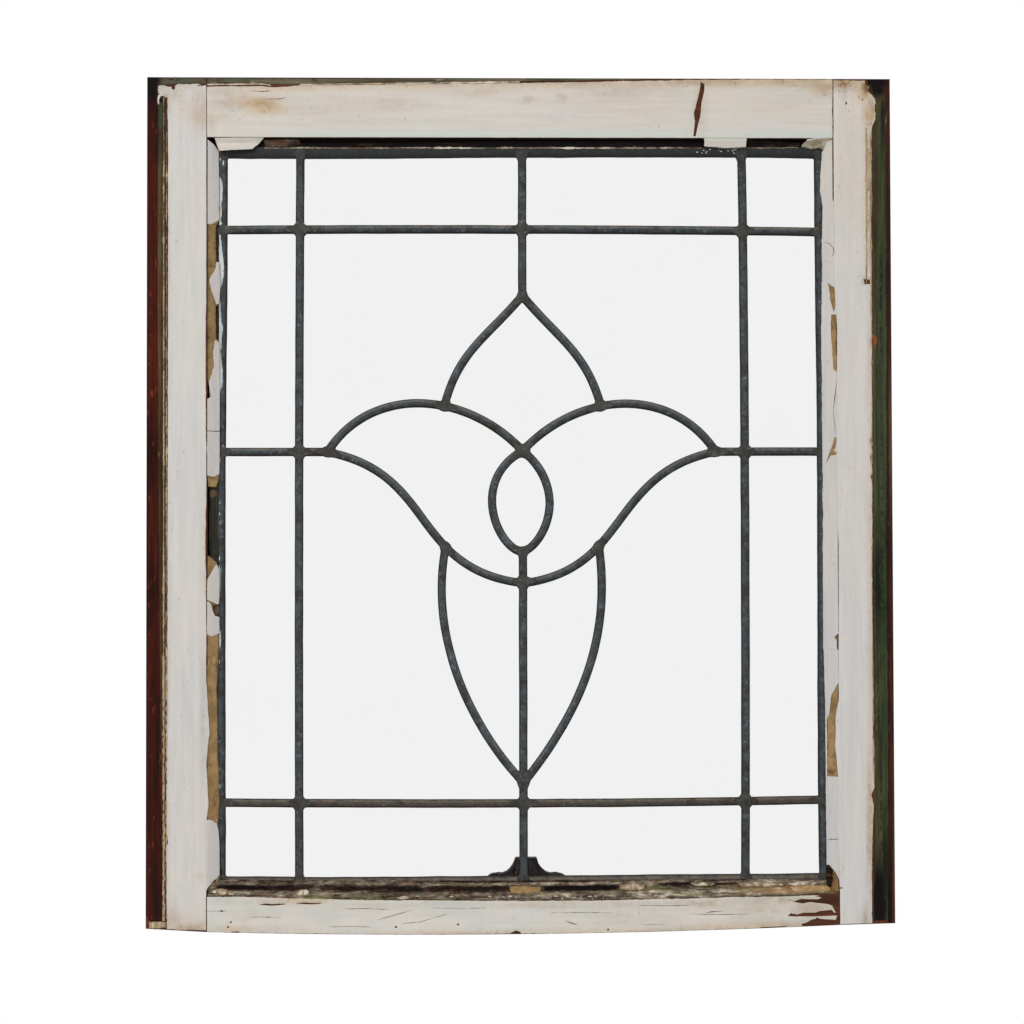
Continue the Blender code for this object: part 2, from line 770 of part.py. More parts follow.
def putty_runs(side, runs):
    """Runs of putty down a stile. Each is a name and its ends as shares from the top."""
    for name, start, end in runs:
        high = OPENING_TOP - GAP - start * (OPENING_HEIGHT - 2 * GAP)
        low = OPENING_TOP - GAP - end * (OPENING_HEIGHT - 2 * GAP)
        upright(side, putty_section(), name, low, high, PUTTY)


putty_runs(
    -1,
    (
        ("left_putty_top", 0.004, 0.388),
        ("left_putty_upper", 0.389, 0.462),
        ("left_putty_middle", 0.556, 0.617),
        ("left_putty_lower", 0.636, 0.982),
    ),
)
putty_runs(
    1,
    (
        ("right_putty_upper", 0.004, 0.657),
        ("right_putty_lower", 0.679, 0.964),
    ),
)
for name, start, end in (
    ("top_putty_left", 0.022, 0.096),
    ("top_putty_middle", 0.788, 0.856),
    ("top_putty_right", 0.944, 0.975),
):
    left = -HALF_OPENING + start * OPENING_WIDTH
    right = -HALF_OPENING + end * OPENING_WIDTH
    level(1, putty_section(), name, left, right, PUTTY)


def bed_section():
    """Crumbled putty lying low against the bottom came."""
    foot = PANEL_CLEARANCE - GAP
    top = PANEL_FRONT - GAP
    return [
        (GAP, top - 3.5 * MM),
        (0.7 * PUTTY_WIDTH, top - 1.5 * MM),
        (0.9 * PUTTY_WIDTH, top),
        (foot, top),
        (foot, REBATE_FLOOR - GAP),
        (GAP, REBATE_FLOOR - GAP),
    ]


bed_end = HALF_OPENING - PUTTY_WIDTH - 2 * GAP
level(-1, bed_section(), "bottom_putty", -bed_end, bed_end, PUTTY)

# Keeper of the sash lock, on the meeting rail's ledge inside
LEDGE = OPENING_BOTTOM + SHOULDER - RAIL_SAG
KEEPER_BASE = LEDGE + GAP
HALF_KEEPER = KEEPER_LENGTH / 2
KEEPER_Y = BACK + RAIL_PROJECTION - RAIL_BEVEL - KEEPER_DEPTH / 2 - 2 * MM
HUMP_TOP = 0.133 * KEEPER_LENGTH
HUMP_FOOT = 0.36 * KEEPER_LENGTH


def keeper_outline():
    """Front view: flat wings, hollow flanks and a flat-topped hump."""
    plate, height = KEEPER_PLATE, KEEPER_HEIGHT
    flank = [
        (HUMP_FOOT - (HUMP_FOOT - HUMP_TOP) * math.sin(angle),
         height - (height - plate) * math.cos(angle))
        for angle in (step * math.pi / 16 for step in range(9))
    ]
    right = [(HALF_KEEPER, 0.0), (HALF_KEEPER, plate)] + flank
    return right + [(-x, z) for x, z in reversed(right)]


def keeper_plan():
    """Plan: a bar with round ends."""
    radius = KEEPER_DEPTH / 2
    centre = HALF_KEEPER - radius
    right = [
        (centre + radius * math.sin(angle), -radius * math.cos(angle))
        for angle in (step * math.pi / 10 for step in range(11))
    ]
    return right + [(-x, -y) for x, y in right]


keeper_place = Matrix.Translation((KEEPER_OFFSET, KEEPER_Y, KEEPER_BASE))
keeper = prism(
    "keeper",
    keeper_outline(),
    KEEPER_DEPTH,
    keeper_place @ Matrix.Rotation(math.pi / 2, 4, "X"),
    IRON,
)
plan = prism("plan", keeper_plan(), 4 * KEEPER_HEIGHT, keeper_place, None, guides)
boolean(keeper, [plan], "INTERSECT")
hook = span(
    KEEPER_OFFSET - 1.15 * HUMP_TOP,
    KEEPER_OFFSET + 1.15 * HUMP_TOP,
    KEEPER_Y - 0.15 * KEEPER_DEPTH,
    KEEPER_Y + KEEPER_DEPTH,
    KEEPER_BASE + KEEPER_PLATE,
    KEEPER_BASE + 0.45 * KEEPER_HEIGHT,
)
cut(keeper, hook)

SCREW_X = HALF_KEEPER - 0.55 * KEEPER_DEPTH
SCREW_LENGTH = 0.6 * MEETING_RAIL_FACE
HEAD_DEPTH = 0.7 * KEEPER_PLATE
for side, name in ((-1, "keeper_screw_left"), (1, "keeper_screw_right")):
    x = KEEPER_OFFSET + side * SCREW_X
    top = KEEPER_BASE + KEEPER_PLATE
    neck = top - HEAD_DEPTH
    point = KEEPER_BASE - SCREW_LENGTH
    cut(
        keeper,
        cylinder("cutter", SCREW_RADIUS + GAP, (x, KEEPER_Y, point), (x, KEEPER_Y, top + MM)),
        cylinder(
            "cutter",
            SCREW_RADIUS + GAP,
            (x, KEEPER_Y, neck),
            (x, KEEPER_Y, top + 0.01 * MM),
            top_radius=SCREW_HEAD_RADIUS + GAP,
        ),
    )
    cut(
        meeting_rail,
        cylinder(
            "cutter", SCREW_RADIUS + GAP, (x, KEEPER_Y, point - GAP), (x, KEEPER_Y, top + MM)
        ),
    )
    screw = cylinder(
        name, SCREW_RADIUS, (x, KEEPER_Y, point), (x, KEEPER_Y, neck + 0.1 * MM), SCREW_STEEL, window
    )
    head = cylinder(
        "head",
        SCREW_RADIUS,
        (x, KEEPER_Y, neck),
        (x, KEEPER_Y, top),
        top_radius=SCREW_HEAD_RADIUS,
    )
    join(screw, head)
    slot = box(
        "slot",
        (x - SCREW_HEAD_RADIUS - MM, KEEPER_Y - 0.4 * MM, top - 0.35 * HEAD_DEPTH),
        (x + SCREW_HEAD_RADIUS + MM, KEEPER_Y + 0.4 * MM, top + MM),
    )
    cut(screw, slot)

# Parts hang from one empty, and curved faces are shaded smooth
root = bpy.data.objects.new("leaded_glass_window", None)
window.objects.link(root)
for made in window.objects:
    if made.type != "MESH":
        continue
    made.parent = root
    made.data.shade_smooth()
    made.data.set_sharp_from_angle(angle=math.radians(30))
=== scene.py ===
"""Looks of the leaded glass window sash: an old upper sash with flaking paint, broken putty and lead.

Lengths are in millimetres until a mesh is made. Places that were read off the photograph are given
as its pixels and turned by spot() into x and z on the plane they lie on.
"""
import math
import random

import bpy
import numpy as np
from mathutils import Matrix, Vector, geometry, noise


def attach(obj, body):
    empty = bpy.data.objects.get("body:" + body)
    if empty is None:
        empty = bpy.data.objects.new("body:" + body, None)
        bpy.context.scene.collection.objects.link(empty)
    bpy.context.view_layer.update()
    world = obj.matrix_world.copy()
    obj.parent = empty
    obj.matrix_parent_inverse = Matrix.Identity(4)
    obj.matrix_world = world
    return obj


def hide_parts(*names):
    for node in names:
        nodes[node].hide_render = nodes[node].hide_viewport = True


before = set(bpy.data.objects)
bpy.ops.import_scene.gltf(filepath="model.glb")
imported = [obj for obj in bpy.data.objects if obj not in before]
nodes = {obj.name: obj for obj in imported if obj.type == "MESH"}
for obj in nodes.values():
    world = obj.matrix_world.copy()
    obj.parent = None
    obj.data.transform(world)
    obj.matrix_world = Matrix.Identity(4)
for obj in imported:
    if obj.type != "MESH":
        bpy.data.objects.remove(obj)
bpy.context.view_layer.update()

MM = 0.001
PIXEL = 0.8166                       # one photo pixel on the sash's front face
MIDDLE = 512                         # pixel row and column of the photo's middle
VIEW_DISTANCE = 2500.0               # from the camera to the front face
AIM = Vector((-9.2, -17.5, -356.3))  # where the camera looks
YAW, PITCH, ROLL = (math.radians(v) for v in (1.6, 2.0, -0.13))

FACE = -17.5                         # y of the wood's outside face
PAINT = 0.45                         # thickness of the paint
LEFT_EDGE, RIGHT_EDGE = -306.85, 302.75
OPENING_LEFT, OPENING_RIGHT = -257.55, 257.55
OPENING_TOP, OPENING_BOTTOM = -49.0, -668.1
MEETING_RAIL_FACE, RAIL_SAG, RAIL_TAPER = 27.0, 4.5, 3.2
LEFT_FOOT_RISE, RIGHT_FOOT_RISE = 3.0, 1.2
PANEL_X, PANEL_Y, PANEL_Z = 0.0, -5.1, -358.55
PANEL_HALF_WIDTH, PANEL_HALF_HEIGHT = 254.35, 306.35
CAME_FACE = -8.4                     # y of the lead's crown
GLASS_FACE = -6.6


# ---------------------------------------------------------------- numbers

FORWARD = Vector((math.sin(YAW) * math.cos(PITCH), math.cos(YAW) * math.cos(PITCH), math.sin(PITCH)))
level_right = Vector((math.cos(YAW), -math.sin(YAW), 0))
level_up = level_right.cross(FORWARD)
RIGHT = level_right * math.cos(ROLL) + level_up * math.sin(ROLL)
UP = level_up * math.cos(ROLL) - level_right * math.sin(ROLL)
VIEWER = AIM - FORWARD * VIEW_DISTANCE


def spot(px, py, y=FACE):
    """x and z in mm of the point at depth y that shows at a pixel of the photograph."""
    ray = FORWARD * VIEW_DISTANCE + RIGHT * (px - MIDDLE) * PIXEL + UP * (MIDDLE - py) * PIXEL
    point = VIEWER + ray * ((y - VIEWER.y) / ray.y)
    return point.x, point.z


def row_of(x, z):
    """The pixel row of the photograph where a point of the sash's face shows."""
    way = Vector((x, FACE, z)) - VIEWER
    return MIDDLE - way.dot(UP) * VIEW_DISTANCE / PIXEL / way.dot(FORWARD)


def wobble(x, z, size, seed, octaves=4):
    """Smooth noise of about -1 to 1 with features of the given size in mm."""
    return noise.fractal(Vector((x / size, seed * 7.31, z / size)), 0.9, 2.1, octaves)


def wobbles(x, z, size, seed, octaves=4, stretch=(1, 1)):
    """The same for arrays of x and z, drawn out by the stretch along each."""
    return np.array([wobble(u / stretch[0], v / stretch[1], size, seed, octaves) for u, v in zip(x, z)])


def smooth(low, high, values):
    """Soft step from 0 to 1."""
    t = np.clip((np.asarray(values, float) - low) / (high - low), 0, 1)
    return t * t * (3 - 2 * t)


def between(values, low, high, soft):
    """1 between two values and 0 beyond them, with soft ends."""
    return smooth(low - soft, low + soft, values) * (1 - smooth(high - soft, high + soft, values))


def inside(outline, xz):
    """Which of the points lie in a closed outline."""
    x, z = xz[:, 0], xz[:, 1]
    found = np.zeros(len(xz), bool)
    corners = np.asarray(outline, float)
    for (x0, z0), (x1, z1) in zip(corners, np.roll(corners, -1, 0)):
        if z0 != z1:
            found ^= ((z0 > z) != (z1 > z)) & (x < (x1 - x0) * (z - z0) / (z1 - z0) + x0)
    return found


def within(outline, holes, xz):
    """Which of the points lie in the outline and in none of its holes."""
    keep = inside(outline, xz)
    for hole in holes:
        keep &= ~inside(hole, xz)
    return keep


def sag(x):
    """How far the meeting rail hangs down at x."""
    return RAIL_SAG * (1 - (np.clip(x, OPENING_LEFT, OPENING_RIGHT) / OPENING_RIGHT) ** 2)


def foot(x):
    """Height of the sash's lower edge at x. The rail is deeper at its left, and the stiles' ends rise."""
    low = OPENING_BOTTOM - MEETING_RAIL_FACE - float(sag(x))
    low += RAIL_TAPER / 2 * min(max(x, OPENING_LEFT), OPENING_RIGHT) / OPENING_RIGHT
    low += LEFT_FOOT_RISE * max(0.0, (OPENING_LEFT - x) / (OPENING_LEFT - LEFT_EDGE))
    return low + RIGHT_FOOT_RISE * max(0.0, (x - OPENING_RIGHT) / (RIGHT_EDGE - OPENING_RIGHT))


def foot_row(px):
    """Pixel row of the sash's lower edge."""
    x = spot(px, 930)[0]
    return row_of(x, foot(x))


def rail_top(px):
    """Pixel row of the meeting rail's upper edge."""
    x = spot(px, 900)[0]
    return row_of(x, OPENING_BOTTOM - float(sag(x)))


def on_sash(x, z):
    """The point, moved inside the sash's outline where it lies beyond it."""
    margin = 0.05
    x = min(max(x, LEFT_EDGE + margin), RIGHT_EDGE - margin)
    return x, min(max(z, foot(x) + margin), -margin)


# ---------------------------------------------------------------- meshes

SHARP = math.radians(42)
PLAIN = (1, 1, 1)


class Piece:
    """Collects closed shells and makes one object of them."""

    def __init__(self):
        self.points, self.faces, self.kinds, self.marks, self.size = [], [], [], [], 0

    def add(self, points, faces, kind=0, marks=None):
        """points in mm, marks of four numbers a point: edge, stain, tone and warmth."""
        points = np.asarray(points, float)
        self.points.append(points)
        self.faces += [tuple(i + self.size for i in f) for f in faces]
        self.kinds += [kind] * len(faces)
        self.marks.append(np.zeros((len(points), 4)) if marks is None else marks)
        self.size += len(points)

    def make(self, name, slot, materials, replaces=()):
        mesh = bpy.data.meshes.new(name)
        mesh.from_pydata((np.concatenate(self.points) * MM).tolist(), [], self.faces)
        mesh.polygons.foreach_set("material_index", self.kinds)
        marks = mesh.attributes.new("marks", "FLOAT_COLOR", "POINT")
        marks.data.foreach_set("color", np.concatenate(self.marks).astype(np.float32).ravel())
        for material in materials:
            mesh.materials.append(material)
        mesh.validate()
        mesh.shade_smooth()
        mesh.set_sharp_from_angle(angle=SHARP)
        obj = bpy.data.objects.new(name, mesh)
        bpy.context.scene.collection.objects.link(obj)
        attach(obj, "root")
        if replaces:
            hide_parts(*replaces)


def ragged(outline, y=FACE, seed=1, step=1.0):
    """An outline of (px, py) or (px, py, roughness in mm) turned into many small sides with torn edges."""
    corners = [(*spot(px, py, y), *(rough or [0.0])) for px, py, *rough in outline]
    points = []
    for (x0, z0, rough), (x1, z1, _) in zip(corners, corners[1:] + corners[:1]):
        length = math.hypot(x1 - x0, z1 - z0)
        count = max(1, round(length / step)) if rough or length > 6 * step else 1
        nx, nz = (z1 - z0) / max(length, 1e-6), -(x1 - x0) / max(length, 1e-6)
        for i in range(count):
            t = i / count
            x, z = x0 + (x1 - x0) * t, z0 + (z1 - z0) * t
            calm_ends = min(1, 4 * t, 4 * (1 - t)) * 0.7 + 0.3
            d = rough * calm_ends * (1.5 * wobble(x, z, 9, seed, 3) + 0.9 * wobble(x, z, 2.4, seed + 3, 3))
            points.append(on_sash(x + nx * d, z + nz * d))
    return points


def slit(points, width):
    """A thin crack along a line of pixels, widest in its middle, as an outline."""
    there, back = [], []
    last = len(points) - 1
    for i, (px, py) in enumerate(points):
        a, b = points[max(i - 1, 0)], points[min(i + 1, last)]
        dx, dy = b[0] - a[0], b[1] - a[1]
        half = width / 2 * (0.25 if i in (0, last) else 1) / math.hypot(dx, dy)
        there.append((px - dy * half, py + dx * half, 0.12))
        back.append((px + dy * half, py - dx * half, 0.12))
    return there + back[::-1]


def openings(outlines, seed):
    """Holes in a sheet of paint, each with its own seed."""
    return [ragged(outline, seed=seed + i) for i, outline in enumerate(outlines)]


def column(rows, rough=.25):
    """Outline of a run between two uprights: rows of (py, left px, right px)."""
    return [(left, py, rough) for py, left, _ in rows] + [(right, py, rough) for py, _, right in rows[::-1]]


def scattered(outline, holes, spacing, lip, seed):
    """Points for the inside of a sheet: a shaken grid, and two rows beside the rim for its rounded edge."""
    rim = np.array([p for ring in (outline, *holes) for p in ring])
    low, high = rim.min(0), rim.max(0)
    gx, gz = np.meshgrid(np.arange(low[0], high[0], spacing), np.arange(low[1], high[1], spacing))
    grid = np.stack([gx.ravel(), gz.ravel()], 1)
    loose = [grid + np.random.default_rng(seed).uniform(-0.3, 0.3, grid.shape) * spacing]
    for ring in (outline, *holes) if lip else ():
        corners = np.array(ring)
        run = np.roll(corners, -1, 0) - np.roll(corners, 1, 0)
        run /= np.maximum(np.linalg.norm(run, axis=1), 1e-9)[:, None]
        loose += [corners + side * lip * np.stack([run[:, 1], -run[:, 0]], 1) for side in (1, -1)]
    loose = np.concatenate(loose)
    loose = loose[within(outline, holes, loose)]
    # Points too close to the rim or to each other would only make slivers.
    cell = 0.45 * max(lip, 0.5)
    taken, chosen = {(round(x / cell), round(z / cell)) for x, z in rim}, []
    for x, z in loose[::-1]:
        place = (round(x / cell), round(z / cell))
        if place not in taken:
            taken.add(place)
            chosen.append((x, z))
    return chosen


def mesh_of(outline, holes, spacing, lip, seed):
    """Points in (x, z) and triangles that fill an outline, all turned the same way round."""
    points, edges = [], []
    for ring in (outline, *holes):
        first = len(points)
        points += ring
        edges += [(first + i, first + (i + 1) % len(ring)) for i in range(len(ring))]
    vectors = [Vector(p) for p in points + scattered(outline, holes, spacing, lip, seed)]
    found, _, triangles, *_ = geometry.delaunay_2d_cdt(vectors, edges, [], 0, 1e-4)
    xz, triangles = np.array([tuple(v) for v in found]), np.array(triangles)
    triangles = triangles[within(outline, holes, xz[triangles].mean(1))]
    used = np.unique(triangles)
    place = np.full(len(xz), -1)
    place[used] = np.arange(len(used))
    xz, triangles = xz[used], place[triangles]
    a, b, c = (xz[triangles[:, i]] for i in range(3))
    turned = (b[:, 0] - a[:, 0]) * (c[:, 1] - a[:, 1]) - (b[:, 1] - a[:, 1]) * (c[:, 0] - a[:, 0]) < 0
    triangles[turned] = triangles[turned][:, ::-1]
    return xz, triangles.tolist()


def open_sides(polygons):
    """The sides that only one polygon has: the rim of a mesh."""
    sides = [(p[i], p[(i + 1) % len(p)]) for p in polygons for i in range(len(p))]
    found = set(sides)
    return [(a, b) for a, b in sides if (b, a) not in found]


def sheet(piece, outline, front, back, holes=(), spacing=3.5, kind=0, stain=None, tone=None, warm=None,
          lip=0.7, round_edge=0.35, curl=None, seed=1, bare=1.0):
    """Adds a closed sheet with the given outline in mm: front(x, z) and back(x, z) give its faces' y.

    stain, tone and warm give its marks. Bare is the mark of its edge.
    """
    xz, triangles = mesh_of(outline, holes, spacing, lip, seed)
    x, z = xz.T
    border = open_sides(triangles)
    on_edge = np.zeros(len(xz))
    on_edge[[i for side in border for i in side]] = 1
    y_front, y_back = front(x, z), back(x, z)
    y_front = y_front + on_edge * round_edge * (y_back - y_front)
    if curl is not None:
        lift = curl(x, z)
        y_front, y_back = y_front - lift, y_back - lift
    n = len(xz)
    body = np.concatenate([np.stack([x, y_front, z], 1), np.stack([x, y_back, z], 1)])
    faces = [tuple(t) for t in triangles]
    faces += [(a + n, c + n, b + n) for a, b, c in triangles]
    faces += [(j, i, i + n, j + n) for i, j in border]
    marks = np.zeros((2 * n, 4))
    marks[:, 0] = np.tile(on_edge * bare, 2)
    for i, field in enumerate((stain, tone, warm)):
        if field is not None:
            marks[:, i + 1] = np.tile(field(x, z), 2)
    piece.add(body, faces, kind, marks)


def patch(piece, points, depth, front, back, spacing, seed, step=0.8, **looks):
    """A sheet whose outline is given as pixels, seen at one depth."""
    sheet(piece, ragged(points, depth, seed, step), front, back, spacing=spacing, seed=seed, **looks)


def level(value):
    """The same value all over."""
    return lambda x, z: np.full(len(x), float(value))


def uneven(middle, amount, size, seed, stretch=(1, 1)):
    """A value that wanders about its middle: a bumpy face or a cloudy mark."""
    return lambda x, z: middle + amount * wobbles(x, z, size, seed, 4, stretch)


def stains(*blots):
    """Soft blots of (px, py, half width, half height, strength) as a function of x and z."""
    places = [(*spot(px, py), rx * PIXEL, rz * PIXEL, s) for px, py, rx, rz, s in blots]

    def field(x, z):
        total = np.zeros(len(x))
        for cx, cz, rx, rz, s in places:
            total = np.maximum(total, s * np.exp(-(((x - cx) / rx) ** 2 + ((z - cz) / rz) ** 2)))
        return total
    return field


def edge_curl(amount, seed, size=22):
    """Paint that has let go lifts a little here and there."""
    return lambda x, z: amount * smooth(0.35, 0.9, wobbles(x, z, size, seed, 3))


# ---------------------------------------------------------------- materials

def srgb(r, g, b):
    """An 8-bit colour as the linear one of a socket."""
    linear = ((v / 255 / 12.92) if v < 10.3 else ((v / 255 + 0.055) / 1.055) ** 2.4 for v in (r, g, b))
    return (*(round(v, 5) for v in linear), 1.0)


def scaled(colour, share):
    """The socket colour of an 8-bit one that is made darker or lighter."""
    return srgb(*(min(255, int(v * share)) for v in colour))


def drawn(along, share):
    """The stretch that draws noise out along an axis."""
    return (1, 1, share) if along == "z" else (share, 1, 1)


class Look:
    """One procedural material, with short names for the nodes it is made of."""

    def __init__(self, name):
        self.made = bpy.data.materials.new(name)
        self.made.use_nodes = True
        self.tree = self.made.node_tree
        self.shader = self.tree.nodes["Principled BSDF"]
        self.coords = self.add("TexCoord").outputs["Object"]

    def feed(self, socket, value):
        """Links a socket to the input, or sets the value on it."""
        if isinstance(value, bpy.types.NodeSocket):
            self.tree.links.new(value, socket)
        else:
            socket.default_value = value

    def add(self, kind, *inputs, **settings):
        node = self.tree.nodes.new("ShaderNode" + kind)
        for key, value in settings.items():
            setattr(node, key, value)
        for socket, value in zip(node.inputs, inputs):
            self.feed(socket, value)
        return node

    def mapped(self, stretch, offset=(0, 0, 0)):
        return self.add("Mapping", self.coords, offset, (0, 0, 0), stretch).outputs[0]

    def grain(self, scale, stretch=PLAIN, detail=4.0, rough=0.6, distortion=0.0, offset=(0, 0, 0)):
        """Noise of about 0 to 1."""
        node = self.add("TexNoise", self.mapped(stretch, offset))
        for key, value in (("Scale", scale), ("Detail", detail), ("Roughness", rough),
                           ("Distortion", distortion)):
            node.inputs[key].default_value = value
        return node.outputs["Fac"]

    def ramp(self, value, *stops):
        """The colour at a value, from stops of (value, colour)."""
        node = self.add("ValToRGB", value)
        elements = node.color_ramp.elements
        while len(elements) < len(stops):
            elements.new(0.5)
        for element, (where, colour) in zip(elements, stops):
            element.position = where
            element.color = colour
        return node.outputs[0]

    def fade(self, value, low, high, top=1.0, bottom=0.0):
        """Turns values from low to high into bottom to top."""
        return self.ramp(value, (low, (bottom, bottom, bottom, 1)), (high, (top, top, top, 1)))

    def mix(self, share, a, b):
        """Colour a, with a share of colour b."""
        node = self.add("Mix", data_type="RGBA")
        for index, value in ((0, share), (6, a), (7, b)):
            self.feed(node.inputs[index], value)
        return node.outputs[2]

    def maths(self, operation, a, b, **settings):
        return self.add("Math", a, b, operation=operation, **settings).outputs[0]

    def times(self, a, b, **settings):
        return self.maths("MULTIPLY", a, b, **settings)

    def plus(self, a, b):
        return self.maths("ADD", a, b)

    def swing(self, noise_value, amount):
        """Noise made to swing about 0."""
        return self.times(self.maths("SUBTRACT", noise_value, 0.5), amount)

    def marks(self):
        """The four marks of a mesh: edge, stain, tone and warmth."""
        found = self.add("Attribute", attribute_name="marks").outputs
        return [*self.add("SeparateColor", found["Color"]).outputs[:3], found["Alpha"]]

    def finish(self, colour, roughness, specular, height, strength, distance, metallic=0.0):
        """Connects the colour and a bump of the given height, and gives the material."""
        bump = self.add("Bump")
        for key, value in (("Strength", strength), ("Distance", distance), ("Height", height)):
            self.feed(bump.inputs[key], value)
        for key, value in (("Base Color", colour), ("Roughness", roughness), ("Metallic", metallic),
                           ("Specular IOR Level", specular), ("Normal", bump.outputs[0])):
            self.feed(self.shader.inputs[key], value)
        return self.made


def paint_material(name, along, base, cool=(188, 193, 186)):
    """Old white house paint: brush marks along the member, grime, stains and bare edges."""
    look = Look(name)
    edge, stain, tone, warmth = look.marks()
    brush = look.grain(260, drawn(along, 0.06), 5, 0.65)
    broad = look.grain(22, drawn(along, 0.35), 4, 0.6, 0.3)
    colour = look.mix(look.fade(brush, 0.3, 0.72), srgb(*(v - 9 for v in base)),
                      srgb(*(v + 6 for v in base)))
    colour = look.mix(look.fade(broad, 0.38, 0.75, 0.55), colour, srgb(214, 202, 186))
    colour = look.mix(look.fade(look.grain(48, offset=(3, 1, 2)), 0.5, 0.8, 0.5), colour,
                      srgb(192, 194, 192))
    # Grime: fine brown specks, denser where the marks are strong
    grime = look.times(look.maths("MAXIMUM", stain, warmth), 0.12)
    specks = look.fade(look.plus(look.grain(420, (1, 1, 0.5), 3, 0.7), grime), 0.655, 0.74)
    ochre = look.fade(look.grain(75, (0.6, 1, 1), 5, 0.68, 0.2, (1, 6, 3)), 0.28, 0.55, 1.0, 0.35)
    colour = look.mix(look.times(warmth, ochre), colour, srgb(198, 168, 126))
    colour = look.mix(look.times(specks, 0.5), colour, srgb(112, 92, 72))
    patches = look.fade(look.grain(150, drawn(along, 0.5), 6, 0.7), 0.32, 0.56)
    soaked = look.times(stain, look.plus(look.times(patches, 0.85), 0.15), use_clamp=True)
    colour = look.mix(soaked, colour, srgb(142, 108, 62))
    colour = look.mix(look.fade(look.times(stain, patches), 0.62, 0.95), colour, srgb(92, 58, 32))
    colour = look.mix(tone, colour, srgb(*cool))
    rim = look.times(look.fade(edge, 0.35, 1.0), look.fade(look.grain(180, detail=5), 0.35, 0.6, 0.9, 0.15))
    colour = look.mix(rim, colour, srgb(176, 158, 128))
    height = look.plus(look.times(brush, 0.6), look.times(look.grain(700, detail=3), 0.4))
    return look.finish(colour, 0.6, 0.35, height, 0.35, 0.0004)


REBATE_FRONT, REBATE_BACK, REBATE_SIDE = -0.0172, -0.0012, 0.2580   # bounds of the rebate, in metres


def wood_material(name, along, light=(104, 60, 38), dark=(60, 32, 20), rough=0.75, rebate_shade=0.72):
    """Softwood with its grain along one axis. The rebate is darkened towards black as painted shade, by the
    given share.
    """
    look = Look(name)
    rings = look.grain(150, drawn(along, 0.035), 6, 0.65, 1.2)
    fibres = look.grain(900, drawn(along, 0.035), 3, 0.7)
    colour = look.mix(look.fade(rings, 0.32, 0.7), srgb(*dark), srgb(*light))
    colour = look.mix(look.fade(fibres, 0.4, 0.75, 0.6), colour, scaled(dark, 0.6))
    colour = look.mix(look.fade(look.grain(16, drawn(along, 0.4), 5, 0.65), 0.45, 0.75, 0.7), colour,
                      scaled(dark, 0.45))
    x, y, _ = look.add("SeparateXYZ", look.coords).outputs
    # Painted shade: the wood in the rebate, between its depths and within the opening, turns near black
    deep = look.times(look.maths("GREATER_THAN", y, REBATE_FRONT), look.maths("LESS_THAN", y, REBATE_BACK))
    across = look.maths("LESS_THAN", look.maths("ABSOLUTE", x, 0), REBATE_SIDE)
    colour = look.mix(look.times(look.times(deep, across), rebate_shade), colour, srgb(24, 17, 13))
    height = look.plus(look.times(rings, 0.6), look.times(fibres, 0.4))
    return look.finish(colour, rough, 0.15, height, 0.5, 0.0005)


def strip_material(name, light, dark, spots, along="z", other=(88, 96, 74), night=(17, 12, 13)):
    """Old stain or paint that the stops covered. The stain mark turns it to night, the tone mark to other."""
    look = Look(name)
    edge, stain, tone, _ = look.marks()
    lines = look.grain(420, drawn(along, 0.03), 5, 0.7, 0.4)
    thin = look.grain(1100, drawn(along, 0.02), 4, 0.75, 0.3)
    patches = look.grain(40, drawn(along, 0.22), 5, 0.65, 0.4)
    flecks = look.grain(300, drawn(along, 0.25), 4, 0.7, 0, (5, 2, 1))
    colour = look.mix(look.fade(lines, 0.33, 0.68), srgb(*dark), srgb(*light))
    colour = look.mix(look.fade(look.plus(tone, look.swing(patches, 0.9)), 0.2, 0.6), colour, srgb(*other))
    colour = look.mix(look.fade(patches, 0.5, 0.72, 0.8), colour, scaled(dark, 0.5))
    colour = look.mix(look.fade(flecks, 0.62, 0.7), colour, srgb(*spots))
    colour = look.mix(look.fade(thin, 0.6, 0.7, 0.55), colour, scaled(dark, 0.4))
    colour = look.mix(look.fade(look.plus(stain, look.swing(lines, 0.8)), 0.25, 0.75), colour, srgb(*night))
    colour = look.mix(look.times(edge, 0.5), colour, scaled(dark, 0.4))
    return look.finish(colour, 0.7, 0.07, lines, 0.5, 0.0005)


def putty_material(name, light, dark, deep):
    """Dried linseed putty, chalky and cracked. Its edges are deep, and its stain mark is painted shadow."""
    look = Look(name)
    edge, stain, _, _ = look.marks()
    coarse = look.grain(130, PLAIN, 6, 0.7, 0.5)
    colour = look.mix(look.fade(coarse, 0.33, 0.66), srgb(*dark), srgb(*light))
    cracks = look.add("TexVoronoi", look.mapped((1, 1, 0.6)), feature="DISTANCE_TO_EDGE")
    cracks.inputs["Scale"].default_value = 240
    lines = look.times(look.fade(cracks.outputs["Distance"], 0.0, 0.06, 0.0, 1.0),
                       look.fade(look.grain(60, detail=3), 0.45, 0.6))
    colour = look.mix(look.times(lines, 0.55), colour, srgb(*deep))
    colour = look.mix(look.fade(look.grain(36, offset=(1, 4, 2)), 0.48, 0.75, 0.65), colour,
                      scaled(dark, 0.62))
    colour = look.mix(look.times(edge, 0.45), colour, srgb(*deep))
    # Stain mark: painted shadow lines
    colour = look.mix(stain, colour, srgb(*deep))
    height = look.plus(look.times(coarse, 0.7), look.times(look.grain(900, detail=3), 0.3))
    height = look.maths("SUBTRACT", height, look.times(lines, 0.5))
    return look.finish(colour, 0.85, 0.2, height, 0.6, 0.0007)


